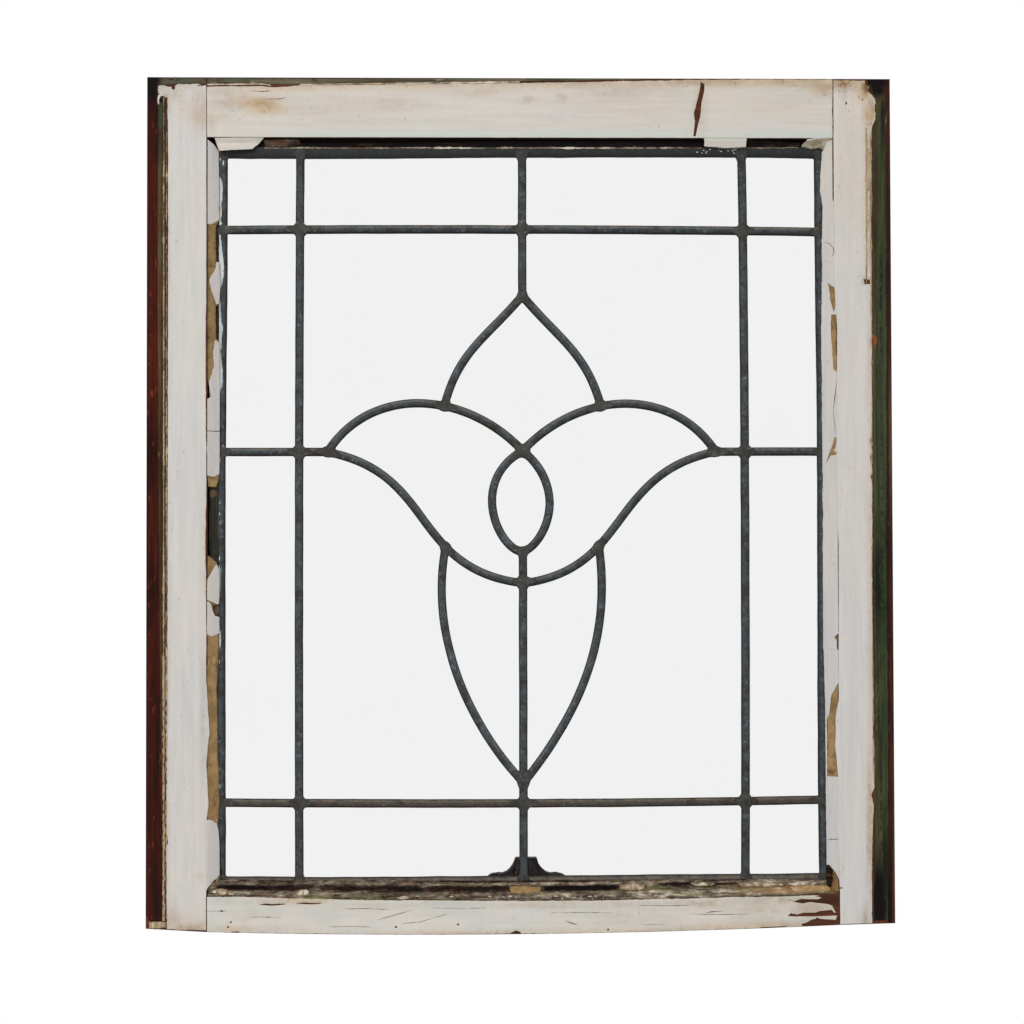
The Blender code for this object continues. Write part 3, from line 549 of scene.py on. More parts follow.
def debris_material(name):
    """The crumbling bed under the panel: the tone mark runs from brown-black over brown and grey to cream."""
    look = Look(name)
    _, _, tone, warmth = look.marks()
    fine = look.grain(420, (0.45, 1, 1), 5, 0.72, 0.6)
    streak = look.grain(620, (0.07, 1, 1), 5, 0.72, 0.7)
    value = look.plus(look.plus(tone, look.swing(fine, 1.0)), look.swing(streak, 1.0))
    colour = look.ramp(value, (0.0, srgb(13, 10, 9)), (0.2, srgb(42, 29, 23)), (0.38, srgb(78, 65, 53)),
                       (0.54, srgb(108, 98, 84)), (0.72, srgb(154, 140, 120)), (0.94, srgb(220, 210, 192)))
    rust = look.fade(look.grain(240, (0.09, 1, 1), 3, 0.6, 0.3, (4, 2, 7)), 0.56, 0.66, 0.6)
    colour = look.mix(look.times(rust, look.fade(value, 0.1, 0.3)), colour, srgb(98, 56, 36))
    moss = look.fade(look.grain(210, (0.1, 1, 1), 3, 0.6, 0.3, (9, 5, 2)), 0.57, 0.66, 0.7)
    colour = look.mix(look.times(moss, look.fade(value, 0.2, 0.4)), colour, srgb(112, 112, 66))
    colour = look.mix(look.times(warmth, 0.8), colour, srgb(186, 146, 96))
    return look.finish(colour, 0.85, 0.12, look.plus(fine, streak), 0.7, 0.0008)


def lead_material(name, crown, rim, roughness=0.58):
    """Old lead: dull, worn on the crown, black along its edges. On a level strip the tone mark gives a
    painted highlight and dusty grime along its upper edge, and painted shade along its lower one.
    """
    look = Look(name)
    edge, stain, tone, warmth = look.marks()
    cloud = look.grain(110, PLAIN, 5, 0.65, 0.3)
    fine = look.grain(520, PLAIN, 5, 0.72, 0.4, (3, 3, 1))
    rubbed = look.grain(260, PLAIN, 5, 0.74, 0.5, (2, 2, 5))
    rust = look.grain(60, PLAIN, 5, 0.68, 0.5, (7, 3, 1))
    colour = look.mix(look.fade(cloud, 0.36, 0.64), scaled(crown, 0.62), srgb(*crown))
    # Painted highlight on the upper half of a level strip, and painted shade on its lower half
    colour = look.mix(look.fade(tone, 0.53, 0.68, 0.5), colour, scaled(crown, 1.45))
    colour = look.mix(look.fade(tone, 0.3, 0.46, 0.0, 0.5), colour, scaled(crown, 0.55))
    colour = look.mix(look.fade(rubbed, 0.55, 0.7, 0.8), colour, scaled(crown, 1.6))
    colour = look.mix(look.times(warmth, 0.5), colour, srgb(86, 70, 56))
    colour = look.mix(look.fade(rust, 0.54, 0.68, 0.85), colour, srgb(52, 41, 33))
    colour = look.mix(look.fade(fine, 0.57, 0.66, 0.8), colour, srgb(*rim))
    # Dusty grime and a painted highlight along the upper edge of a level strip
    dust_and_highlight = look.times(look.fade(tone, 0.7, 0.88), look.fade(look.grain(150, detail=5), 0.36, 0.6, 0.8))
    colour = look.mix(dust_and_highlight, colour, srgb(136, 122, 100))
    # Painted shade along the lower edge of a level strip
    colour = look.mix(look.fade(tone, 0.08, 0.3, 0.0, 0.75), colour, srgb(30, 27, 24))
    black = look.times(look.fade(edge, 0.3, 0.85, 0.95), look.fade(fine, 0.3, 0.8, 0.7, 1.0))
    colour = look.mix(black, colour, srgb(*rim))
    # The stain mark darkens the lead: painted shade on the top border strip and its joints under the rail
    colour = look.mix(stain, colour, srgb(34, 38, 36))
    height = look.plus(look.times(cloud, 0.6), look.times(fine, 0.4))
    return look.finish(colour, roughness, 0.15, height, 0.6, 0.0006, 0.1)


def glass_material(name):
    """Clear old sheet glass with faint waves."""
    look = Look(name)
    colour = look.mix(look.grain(9, PLAIN, 3, 0.5), (0.865, 0.87, 0.867, 1), (0.882, 0.886, 0.884, 1))
    for key, value in (("Transmission Weight", 1.0), ("IOR", 1.5),
                       ("Specular Tint", (0.15, 0.15, 0.15, 1))):
        look.shader.inputs[key].default_value = value
    return look.finish(colour, 0.0, 0.5, look.grain(14, (1, 1, 0.5), 2, 0.5, 0.6), 0.05, 0.002)


def iron_material(name, light, dark):
    """Dark iron with a little rust."""
    look = Look(name)
    cloud = look.grain(240, PLAIN, 6, 0.7, 0.4)
    colour = look.mix(look.fade(cloud, 0.35, 0.68), srgb(*dark), srgb(*light))
    rust = look.fade(look.grain(110, PLAIN, 5, 0.7, 0.3, (4, 1, 8)), 0.52, 0.7, 0.7)
    colour = look.mix(rust, colour, srgb(70, 40, 28))
    return look.finish(colour, 0.62, 0.15, cloud, 0.5, 0.0005, 0.1)


paint_up = paint_material("white_paint_along_z", "z", (203, 200, 197))
paint_top = paint_material("white_paint_of_top_rail", "x", (206, 200, 192), (190, 201, 196))
paint_across = paint_material("white_paint_along_x", "x", (211, 206, 199))
putty_paint = paint_material("white_paint_on_putty", "z", (198, 195, 193))
smear_paint = paint_material("white_smear_on_lead", "z", (206, 214, 216), (122, 142, 150))
wood_up = wood_material("old_wood_along_z", "z")
wood_across = wood_material("old_wood_along_x", "x")
red_strip = strip_material("dark_red_stain", (84, 29, 17), (34, 12, 8), (120, 58, 36))
brown_strip = strip_material("brown_and_green_paint", (96, 72, 46), (50, 34, 22), (128, 104, 70),
    other=(84, 96, 74))
black_strip = strip_material("olive_paint", (90, 86, 58), (46, 44, 29), (104, 84, 56), other=(140, 76, 42))
green_strip = strip_material("green_paint", (72, 82, 54), (40, 46, 31), (60, 78, 52), other=(40, 40, 30),
    night=(26, 30, 23))
outer_strip = strip_material("red_brown_outer_edge", (78, 42, 30), (36, 20, 15), (104, 88, 64),
    other=(86, 80, 60))
ridge_strip = strip_material("tan_paint_ridge", (206, 190, 158), (136, 108, 76), (226, 216, 194),
    other=(216, 204, 178))
head_strip = strip_material("grey_green_head_strip", (118, 110, 88), (62, 54, 42), (140, 128, 100), "x",
    (84, 96, 78))
fringe_strip = strip_material("cream_fringe", (226, 216, 196), (170, 142, 112), (236, 230, 214), "x")
tan_putty = putty_material("tan_putty", (172, 142, 98), (136, 108, 70), (46, 30, 18))
grey_putty = putty_material("grey_putty", (184, 174, 154), (140, 128, 106), (52, 42, 32))
bare_wood = wood_material("bare_corner_wood", "z", (186, 146, 98), (140, 102, 62), 0.8, 0)
debris = debris_material("crumbled_bed")
dark_bed = strip_material("dark_bed_beside_lead", (58, 60, 52), (28, 29, 25), (92, 80, 62),
    other=(104, 84, 62))
lead_up = lead_material("lead_upright", (74, 79, 82), (22, 24, 25))
lead_across = lead_material("lead_level", (70, 75, 77), (20, 20, 19))
solder_lead = lead_material("solder", (71, 70, 67), (24, 24, 23), 0.5)
glass = glass_material("clear_window_glass")
keeper_iron = iron_material("keeper_iron_aged", (40, 29, 26), (22, 15, 13))
screw_iron = iron_material("screw_steel_aged", (64, 54, 46), (30, 24, 20))


WOOD = {"left_stile": wood_up, "right_stile": wood_up, "top_rail": wood_across, "meeting_rail": wood_across}
for name, obj in nodes.items():
    dress = glass if name.endswith("_glass") else WOOD.get(name)
    if dress:
        obj.data.materials.clear()
        obj.data.materials.append(dress)


# ---------------------------------------------------------------- paint on the wood

def paint(member, number, outline, holes, looks, lift, spacing=3.4, **marks):
    """Adds the coat of paint on one member of the sash."""
    piece = Piece()
    sheet(piece, ragged(outline, seed=10 + number), uneven(FACE - PAINT, 0.05, 14, 30 + number),
          level(FACE + 0.05), holes, spacing, curl=edge_curl(lift, 4 + number), seed=number, **marks)
    piece.make(member + "_paint", "painted_wood", [looks])


# Left stile
outline = [(206.3, 85.6, .10), (206.35, 137, .06), (206.5, 224, .08), (206.2, 300, .16), (205.6, 340, .16),
    (206.4, 480, .18), (205.4, 555, .22), (206.4, 620, .16), (206.2, 680, .2), (207.3, 693, .2),
    (208.2, 712, .2), (209.6, 733, .2), (208.4, 741, .2), (207.0, 756, .2), (206.4, 767, .2),
    (207.4, 780, .2), (208.5, 806, .2), (206.4, 821, .04), (206.6, 884, .04), (206.2, 893, .1),
    (206.1, 912, .1), (206.1, foot_row(205) - 1.9, .1), (186, foot_row(186) - 1.2, .3),
    (167, foot_row(167) - 0.6, .35), (166.4, 880, .30), (167.2, 700, .22), (167.6, 500, .20),
    (168.0, 300, .20), (168.0, 120, .3), (167.4, 100, .4), (166.8, 96.4, .4), (165.6, 99.0, .4),
    (164.0, 96.0, .5), (160.6, 96.0, .4), (159.2, 99.6, .2), (159.3, 104.0, .2), (158.2, 104.6, .2),
    (157.4, 100.6, .2), (157.8, 96.8, .2), (159.4, 94.0, .4), (157.8, 89.4, .4), (158.4, 86.0, .4),
    (163, 85.2, .4), (168, 86.8, .4), (174, 86.4, .3), (178, 83.8, .35), (190, 84.6, .4), (198, 84.0, .4),
    (202, 85.6, .35)]
holes = openings([
    [(171.6, 86.0, .2), (175.0, 86.4, .2), (174.6, 89.6, .2), (171.8, 89.0, .2)],
    slit([(197.0, 86.2), (200.4, 85.2), (203.6, 86.0)], .8),
    [(164.4, 833, .2), (167.6, 836, .2), (168.2, 845, .2), (166.0, 842, .2)],
    [(204.6, 862, .2), (205.8, 864, .2), (205.4, 871, .2), (204.2, 868, .2)]], 20)
left_stains = stains((163, 88, 9, 5, .8), (178, 84, 14, 4, .75), (172, 92, 9, 9, .5),
    (201, 110, 10, 22, .35), (166, 100, 4, 14, .7), (167, 300, 2, 180, .35), (167, 700, 2, 220, .35),
    (170, 915, 8, 14, .45), (190, 929, 18, 4, .6), (203, 928, 6, 5, .7), (201, 876, 3, 3, .35),
    (205, 560, 3, 40, .3), (204, 720, 3, 80, .3))
left_warmth = stains((200, 116, 9, 10, .5), (176, 88, 16, 6, .45), (186, 108, 14, 22, .22),
    (185, 926, 22, 9, .5))
left_tone = stains((166, 90, 12, 7, .7), (159, 92, 3, 7, .5), (182, 86, 16, 3, .4))
paint("left_stile", 1, outline, holes, paint_up, 0.25, stain=left_stains, tone=left_tone, warm=left_warmth)

# Right stile
outline = [(833.4, 80.4, .10), (833.4, 137, .05), (833.7, 199, .05), (834.6, 240, .22), (834.0, 262, .25),
    (835.2, 300, .2), (837.2, 330, .16), (836.8, 372, .16), (837.0, 430, .12), (837.4, 520, .10),
    (838.6, 545, .10), (838.6, 650, .12), (838.8, 700, .14), (835.6, 716, .22), (835.4, 748, .22),
    (838.2, 776, .16), (838.8, 866, .04), (839.4, 884, .04), (840.0, 893, .10),
    (840.2, foot_row(840.5) - 0.6, .1), (872.2, foot_row(872.2) - 0.8, .25), (871.8, 880, .35),
    (872.6, 831, .3), (873.6, 806, .45), (871.4, 795, .45), (874.4, 786, .4), (873.0, 770, .25),
    (872.4, 640, .20), (872.2, 484, .20), (870.6, 476, .3), (872.0, 470, .3), (870.2, 458, .3),
    (871.8, 450, .3), (870.4, 440, .3), (872.0, 431, .2), (872.0, 349, .3), (871.6, 300, .2),
    (871.2, 200, .2), (871.0, 141, .4), (871.8, 129, .5), (875.4, 119, .5), (875.2, 101, .5),
    (872.0, 95, .5), (867.6, 91, .6), (869.2, 86.6, .6), (864.6, 84.4, .6), (865.0, 80.6, .4)]
holes = openings([
    [(845.2, 102.2, .1), (846.9, 102.2, .1), (847.2, 104.2, .1), (845.4, 104.4, .1)],
    [(861.8, 98.9, .1), (863.2, 99.0, .1), (863.0, 100.5, .1), (861.8, 100.3, .1)],
    [(863.4, 279, .25), (869.4, 280, .25), (870.2, 284, .25), (864.6, 284.4, .25)],
    [(840.2, 887.2, .1), (841.8, 886.9, .1), (841.8, 888.6, .1), (840.4, 888.9, .1)]], 40)
right_stains = stains((846, 85, 22, 7, .85), (839, 82, 8, 4, .8), (866, 88, 6, 10, .95),
    (871, 110, 5, 13, .95), (862, 84, 10, 5, .7), (868, 140, 4, 14, .5), (868.6, 230, 2.6, 60, .5),
    (870, 560, 2.0, 200, .3), (870, 830, 2.6, 80, .6), (845, 96, 4, 3, .45), (868, 280, 6, 4, .8),
    (866, 918, 5, 12, .6), (838, 870, 4, 14, .3), (874, 342, 4, 8, .9), (855, 180, 20, 60, .1),
    (869, 83, 6, 4, 1.0))
right_warmth = stains((848, 82, 22, 5, .85), (864, 92, 9, 12, .9), (868, 116, 6, 12, .9),
    (868.4, 190, 3.4, 60, .95), (869.8, 360, 2.2, 120, .35), (870.4, 640, 2.2, 160, .35),
    (870, 800, 3.0, 50, .6), (852, 120, 12, 30, .15))
paint("right_stile", 2, outline, holes, paint_up, 0.25, stain=right_stains, warm=right_warmth)

# Top rail
outline = [(207.1, 137.0, .05), (207.0, 86.8, .12), (218, 86.4, .25), (262, 86.2, .3), (270, 87.2, .3),
    (288, 86.6, .3), (300, 85.2, .3), (420, 84.2, .3), (560, 82.4, .3), (640, 81.0, .3), (700, 79.9, .25),
    (760, 79.5, .25), (832.4, 79.6, .25), (832.5, 138.2, .05)]
holes = openings([[(700.6, 82, .15), (704.4, 84, .15), (704.2, 91, .15), (701.4, 103, .15),
    (700.4, 115, .12), (698.4, 123, .12), (695.6, 136.3, .1), (693.3, 136.3, .1), (695.0, 121, .12),
    (693.8, 113, .12), (697.0, 101.5, .15), (699.8, 90, .15)],
    slit([(251, 91), (262, 91.6), (270, 91.3)], .7), slit([(263, 99.2), (280, 99), (286, 97.6)], .7)], 50)
top_stains = stains((240, 83, 30, 4, .8), (256, 104, 24, 6, .62), (225, 100, 16, 16, .4),
    (300, 83, 40, 4, .7), (420, 82, 80, 4, .6), (560, 81, 90, 4, .6), (528, 99, 5, 4, .6),
    (562, 97, 5, 4, .6), (620, 92, 60, 7, .25), (700, 82, 60, 4, .6), (800, 82, 46, 6, .6),
    (826, 86, 12, 9, .5), (330, 112, 60, 14, .12), (480, 92, 30, 6, .3), (700, 108, 6, 26, .3),
    (210, 122, 6, 14, .25), (395, 104, 30, 8, .2))
top_warmth = stains((256, 103, 20, 5, 1.0), (266, 110, 18, 4, .95), (244, 96, 14, 8, .5),
    (212, 118, 10, 8, .4), (280, 89, 60, 4, .6), (380, 87, 90, 4, .5), (520, 86, 110, 4, .45),
    (650, 84, 90, 4, .5), (760, 82, 80, 4, .75), (822, 86, 16, 9, .7), (780, 108, 40, 8, .22),
    (640, 106, 60, 12, .18), (330, 100, 60, 10, .18))


def top_tone(x, z):
    """Cooler along the lower edge, and in soft clouds at the left."""
    clouds = smooth(-0.2, 0.8, wobbles(x, z, 34, 78, 3, (2.5, 1))) * (1 - smooth(-60, 120, x))
    return 0.6 * (1 - smooth(-50, -37, z)) * smooth(-230, -150, x) + 0.2 * clouds


paint("top_rail", 3, outline, holes, paint_top, 0.2, stain=top_stains, tone=top_tone, warm=top_warmth)

# Meeting rail: its two ends are straight, where they butt against the stiles
places = [207.0, 255, 295, 335, 375, 415, 455, 535, 575, 615, 655, 695, 735, 775, 815, 838.9]
top_rows = [896.9, 897.0, 898.5, 899.2, 900.2, 900.2, 900.7, 900.8, 900.5, 900.2, 899.0, 898.3, 896.9,
    896.6, 895.4, 894.6]
outline = [(px, py, .3) for px, py in zip(places[:-1], top_rows)] + [(places[-1], top_rows[-1], .06)]
outline += [(px, foot_row(px) - 0.4, .2) for px in places[:0:-1]]
outline += [(places[0], foot_row(places[0]) - 0.4, .06)]
chips = [
    [(788, 899.9, .2), (795, 901, .2), (801.2, 898.9, .15), (817.5, 899.4, .15), (821.5, 897.6, .15),
     (816, 896.2, .15), (821.5, 894.5, .15), (840.5, 893.6, 0), (840.5, 924.5, 0), (835, 922.8, 0),
     (836.9, 915.6, .15), (835.5, 912, .15), (834.4, 910.2, .15), (832.3, 905.6, .15), (827.7, 904, .15),
     (811, 902, .15), (803, 903.4, .15), (797, 902.4, .15), (789, 900.4, .15)],
    [(787.6, 916, .15), (791, 913.2, .15), (797, 914.7, .15), (803, 912.6, .15), (815.5, 912.6, .15),
     (819.6, 911, .15), (832, 910, .15), (834, 912.6, .1), (836.6, 912.6, .1), (838, 915.4, .1),
     (827, 915.8, .15), (811, 916.4, .15), (797, 916.4, .15)],
    [(801, 924.4, .15), (806, 922.8, .15), (811.4, 919.8, .15), (815.5, 918.8, .15), (817, 917.2, .1),
     (819.6, 918.8, .15), (838, 919.8, .1), (840.5, 923, 0), (838, 928, 0), (817, 928, 0),
     (803, 926.5, .1)],
    [(509, 938, 0), (512, 932.4, .2), (516, 930.6, .2), (520.5, 932.0, .2), (523, 938, 0)],
    [(529, 938, 0), (532, 933.2, .15), (537, 933.6, .15), (539, 938, 0)],
    [(758, 932, 0), (761, 927.2, .1), (772, 926.6, .1), (786, 926.2, .1), (788, 932, 0)],
    [(230, 938, 0), (232, 931.6, .1), (239, 931.4, .1), (241, 938, 0)],
]
cracks = [
    ([(260, 904.8), (266, 904.3), (272, 904.9), (279, 904.3), (286, 904.0)], 1.7),
    ([(296, 903.8), (304, 903.2), (312, 903.6), (322, 903.2)], 1.5),
    ([(287.2, 902.4), (288.6, 900.2)], .7), ([(378, 920), (390, 916.4), (402, 913), (412, 910)], .45),
    ([(208, 911.4), (226, 911.0)], .5), ([(706, 912.6), (714, 911.6), (722, 911.2)], .7),
    ([(432, 908), (462, 908.6), (486, 908)], .35), ([(548, 913), (584, 912.4), (612, 913)], .35),
    ([(252, 917.4), (262, 917), (280, 917.6)], .3), ([(330, 927), (352, 926.4), (370, 927)], .35),
    ([(640, 925), (664, 924.4)], .4), ([(566, 921), (571, 923), (577, 924.6)], .8),
    ([(403, 923.6), (420, 922), (447, 914)], .5), ([(640, 905.4), (668, 905.8), (690, 905.2)], .5),
    ([(690, 914), (720, 914.6), (748, 914)], .45), ([(345, 909), (366, 908.6), (388, 909.4)], .45),
]
nicks = [[(px - 1, py - .7, .1), (px + 1, py - .8, .1), (px + 1.1, py + .7, .1), (px - .9, py + .8, .1)]
         for px, py in ((221.6, 911), (230.8, 922.2), (228, 927), (458, 924.4), (608, 929.6), (396, 927))]
holes = openings(chips, 60) + openings([slit(*crack) for crack in cracks], 80) + openings(nicks, 90)
meeting_stains = stains((225, 899, 14, 3, .35), (290, 901, 60, 3, .45), (420, 904, 90, 3, .3),
    (560, 905, 110, 3, .35), (700, 903, 60, 4, .5), (780, 899, 40, 5, .7), (815, 910, 24, 16, .55),
    (260, 930, 40, 3, .35), (500, 934, 60, 3, .45), (700, 930, 60, 4, .4), (790, 925, 36, 4, .6),
    (630, 918, 60, 12, .16), (760, 912, 26, 12, .3), (245, 918, 20, 10, .2))
meeting_warmth = stains((225, 930, 18, 4, .6), (300, 900, 26, 4, .6), (420, 933, 120, 3, .4),
    (560, 903, 60, 4, .35), (600, 931, 100, 3, .4), (760, 905, 50, 8, .35), (745, 926, 60, 4, .5),
    (820, 906, 20, 12, .35))
paint("meeting_rail", 4, outline, holes, paint_across, 0.3, 3.2, stain=meeting_stains, warm=meeting_warmth,
      tone=lambda x, z: 0.55 * smooth(-0.1, 0.7, wobbles(x, z, 30, 77, 3, (2.5, 1))))


# ---------------------------------------------------------------- strips that the stops covered

def band(piece, kind, edges, thick, seed, rough=.25, crown=False, spacing=2.2, y=FACE, along="z", **marks):
    """A long strip of old paint down a stile, or along a rail.

    Its edges are (py, left px, right px), along a rail (px, upper py, lower py). A crown rounds its sides.
    """
    sides = [(at, near) for at, near, _ in edges] + [(at, far) for at, _, far in edges[::-1]]
    outline = [(*(side[::-1] if along == "z" else side), rough) for side in sides]

    def front(x, z):
        stretch = (1, 3) if along == "z" else (3, 1)
        return y - np.maximum(thick * (1 + 0.35 * wobbles(x, z, 5, seed + 2, 3, stretch)), 0.06)
    rounded = 0.85 if along == "z" else 0.8
    sheet(piece, ragged(outline, seed=seed), front, level(y + 0.05), (), spacing, kind,
          lip=0.5 if along == "z" and not crown else 0.4, round_edge=rounded if crown else 0.4, seed=seed,
          **marks)


piece = Piece()
band(piece, 0, [(84.4, 146.9, 157.6), (110, 146.6, 158.0), (300, 146.2, 157.5), (520, 145.6, 158.3),
    (640, 145.4, 159.5), (760, 145.4, 160.9), (860, 145.6, 162.0), (914, 145.7, 162.2),
    (921.6, 149.4, 161.4)], .16, 201, stain=stains((152, 84, 12, 34, .8), (145.8, 500, 2.0, 640, .8),
    (155, 880, 6, 60, .6), (157, 905, 6, 40, .62), (156.6, 640, 1.6, 160, .5), (157.6, 740, 2.2, 90, .8),
    (150, 330, 2, 60, .35), (153, 200, 3, 30, .3), (148, 800, 2, 40, .4)),
    tone=stains((150, 872, 2.2, 8, .38), (149.4, 735, 1.4, 10, .3), (148.8, 846, 1.2, 6, .35)))
band(piece, 1, [(97.5, 157.8, 162.6), (115, 157.9, 163.6), (150, 157.8, 162.0), (300, 157.4, 161.6),
    (520, 158.4, 161.8), (640, 159.6, 161.8), (760, 160.9, 161.9)], .14, 202,
    tone=stains((160, 112, 5, 16, 1.0), (160, 190, 6, 60, .4), (160, 252, 4, 30, .5)),
    stain=stains((161, 99, 3, 4, .9), (160, 560, 5, 160, .35)))
spots = [(163.2 + 2.6 * wobble(i, 3, 1.7, 218), 690 + i * 9.4, 0.9,
          2.5 + 2 * abs(wobble(i, 9, 1.3, 219)), 0.8) for i in range(25)]
band(piece, 1, [(96.8, 162.4, 167.6), (300, 161.5, 167.8), (520, 161.7, 167.4), (760, 161.8, 167.2),
    (922, 162.2, 167.6)], .26, 206, .15)
band(piece, 2, [(97.4, 163.0, 164.6), (140, 163.2, 164.6), (300, 163.0, 164.6), (520, 162.8, 164.6),
    (700, 162.4, 164.9), (921, 162.4, 164.9)], .5, 203, .35, True, 1.2,
    stain=stains(*spots, (163.8, 150, 1, 40, .5), (163.8, 640, 1.2, 50, .45)))
band(piece, 2, [(132, 166.1, 167.2), (300, 165.9, 167.0), (560, 165.7, 166.9), (700, 165.4, 167.0),
    (920, 165.4, 167.3)], .4, 204, .35, True, 1.2,
     stain=stains(*[(px + 2.8, py + 4, w, h, k) for px, py, w, h, k in spots]))
band(piece, 2, [(921.8, 149.0, 166.5), (928.2, 149.2, 166.8)], .2, 214, .5)
piece.make("left_strip_layers", "painted_wood", [red_strip, brown_strip, ridge_strip])

piece = Piece()
band(piece, 0, [(84.2, 868.2, 884), (92, 871.2, 884.6), (104, 875.4, 885), (120, 875.8, 885),
    (131, 872.6, 885), (300, 872.8, 885.6), (600, 873.4, 887.0), (786, 875.8, 888.0), (800, 873.8, 888.2),
    (foot_row(880) - 3.6, 873.8, 888.2)], .13, 205, stain=stains((878, 84, 12, 16, 1.0),
    (879, 900, 10, 44, 1.0), (876, 180, 6, 90, .5), (881.6, 780, 1.2, 130, .9), (874, 880, 3, 60, .5),
    (886, 900, 4, 30, .5), (875, 225, 5, 60, .45)), tone=stains((874.0, 340, 3.0, 5.5, 1.0),
    (877, 420, .8, 60, .35)))
band(piece, 3, [(99, 882.2, 883.6), (114, 880.6, 884.8), (180, 880.0, 885.6), (300, 877.2, 886.2),
    (350, 877.6, 886.4), (376, 875.2, 886.6), (420, 874.6, 886.8), (620, 875.4, 887.4),
    (720, 877.8, 887.8), (800, 882.4, 888), (900, 883.6, 888)], .2, 217, .3,
    stain=stains((882, 110, 6, 60, .75), (880.9, 300, .9, 90, .8), (881.5, 520, .9, 190, .9),
    (883.4, 640, 1.0, 60, .4), (884, 870, 7, 60, .85)), tone=stains((877, 640, 2.4, 90, .5),
    (884.5, 470, 2.0, 60, .25)))
band(piece, 1, [(78.6, 866.4, 890.6), (84, 868.0, 891.0), (87, 880.4, 891.3), (96, 884.0, 891.6),
    (99, 884.6, 891.8), (300, 886.0, 892.7), (600, 887.2, 893.0), (786, 888.0, 892.8),
    (foot_row(890) - 0.8, 888.0, 892.4)], .16, 216, .12, stain=stains((876, 82, 14, 10, 1.0),
    (890, 98, 4, 14, .5), (887.4, 500, 1.2, 500, .6), (889, 230, 3, 90, .45), (889, 905, 4, 50, .8)),
    tone=stains((892.4, 200, 1.4, 90, .5), (890.5, 440, 2.4, 90, .55)))
band(piece, 2, [(128, 865.4, 867.0), (200, 865.6, 867.4), (284, 865.8, 867.0)], .3, 207, .25, True, 1.2,
     FACE - PAINT)
band(piece, 2, [(149, 866.2, 869.2), (157, 865.0, 871.2), (168, 865.6, 871.4), (182, 865.4, 871.2),
    (190, 866.6, 870.0)], .45, 219, .6, True, 1.0, FACE - PAINT, stain=stains((866.4, 172, .8, 12, .5),
    (870.4, 160, .8, 8, .5)))
band(piece, 2, [(122, 869.6, 872.0), (300, 869.8, 872.0), (420, 870.9, 872.4), (640, 871.7, 873.0),
    (786, 873.4, 874.8)], .5, 208, .4, True, 1.2, stain=stains((870.6, 205, 1, 70, .6),
    (871, 143, 1.5, 6, .6), (871, 500, 2, 20, .5), (872, 720, 1.2, 60, .5)))
piece.make("right_strip_layers", "painted_wood", [black_strip, outer_strip, ridge_strip, green_strip])

# Unpainted strip along the head, with the torn edge of the paint below it
piece = Piece()
head_stain = stains((151, 80, 13, 14, 1.0), (173, 79, 14, 2, .75), (206.6, 80, 2.4, 5, .6),
    (300, 78, 200, 1.2, .6), (390, 80, 8, 3, .5), (316, 81, 5, 2, .5))
head_tone = stains((185, 80, 18, 3, .5), (176, 82.5, 6, 2, .0), (240, 80, 22, 4, .35),
    (330, 80, 30, 3, .3), (470, 79, 50, 3, .3))
band(piece, 0, [(146.9, 77.0, 88), (157.4, 77.0, 86), (164, 77.0, 84.8), (186, 77.0, 83.8),
    (206.6, 77.1, 84.4)], .12, 209, .25, along="x", stain=head_stain, tone=head_tone)
band(piece, 0, [(207.1, 77.2, 83.8), (262, 77.3, 83.6), (300, 77.4, 84.2), (420, 77.6, 82.6),
    (560, 77.9, 80.8), (640, 78.0, 79.6)], .12, 210, .2, along="x", stain=head_stain, tone=head_tone)
band(piece, 1, [(207.3, 83.6, 85.5), (240, 83.4, 85.0), (262, 83.2, 85.0), (271, 84.6, 86.0)], .5, 211, .3,
     True, 1.2, along="x")
band(piece, 1, [(300, 84.0, 85.4), (340, 83.4, 84.8), (420, 82.6, 84.0), (520, 81.4, 82.6)], .4, 212, .35,
     True, 1.2, along="x")
piece.make("head_strip_layers", "painted_wood", [head_strip, fringe_strip])


# ---------------------------------------------------------------- putty

WALLS = {"left": (OPENING_LEFT, 1), "right": (OPENING_RIGHT, -1)}
SLOPE_TOP, SLOPE_FOOT, PUTTY_WIDTH = -17.3, -9.4, 11.3   # y at the wall and at the glass, and the width
PUTTY_DEPTH, SKIN_DEPTH = -13, -13.5   # y on which the outlines of putty and of its paint are seen


def putty_slope(side, extra, amount, size, seed):
    """The putty's outside face: from the wall's edge down to the glass."""
    def front(x, z):
        if side in WALLS:
            wall, way = WALLS[side]
            away = (x - wall) * way
        elif side == "top":
            away = OPENING_TOP - z
        else:
            away = z - (OPENING_BOTTOM - sag(x))
        y = SLOPE_TOP + (SLOPE_FOOT - SLOPE_TOP) * np.clip(away / PUTTY_WIDTH, 0, 1.2)
        rough = amount * wobbles(x, z, size, seed, 5)
        return np.minimum(y + rough * smooth(0, 2, away), CAME_FACE - 0.2) - extra
    return front


def no_deeper(face, limit):
    """The face, where it lies in front of a limit, else the limit."""
    return lambda x, z: np.minimum(face(x, z), limit)


def putty_body(piece, side, outline, seed, stain):
    """What is left of a run of putty. Its stain mark is painted shadow."""
    patch(piece, outline, PUTTY_DEPTH, putty_slope(side, -0.5, 0.55, 7, seed), level(CAME_FACE + 0.05),
          1.7, seed, 0.9, stain=stain, lip=0.6, round_edge=0.12)


def putty_skin(piece, side, outline, seed, holes=(), extra=0.1, curl=0.35, bare=1.0):
    """White paint left on the putty, or over it on the wood beside it when it has more extra height."""
    rings = [ragged(hole, SKIN_DEPTH, seed + 10 + i, 0.8) for i, hole in enumerate(holes)]
    patch(piece, outline, SKIN_DEPTH, putty_slope(side, extra, 0.12, 16, seed),
          putty_slope(side, extra - 0.5, 0.12, 16, seed), 2.4, seed, holes=rings, lip=0.45, round_edge=0.3,
          curl=edge_curl(curl, seed, 9), bare=bare)


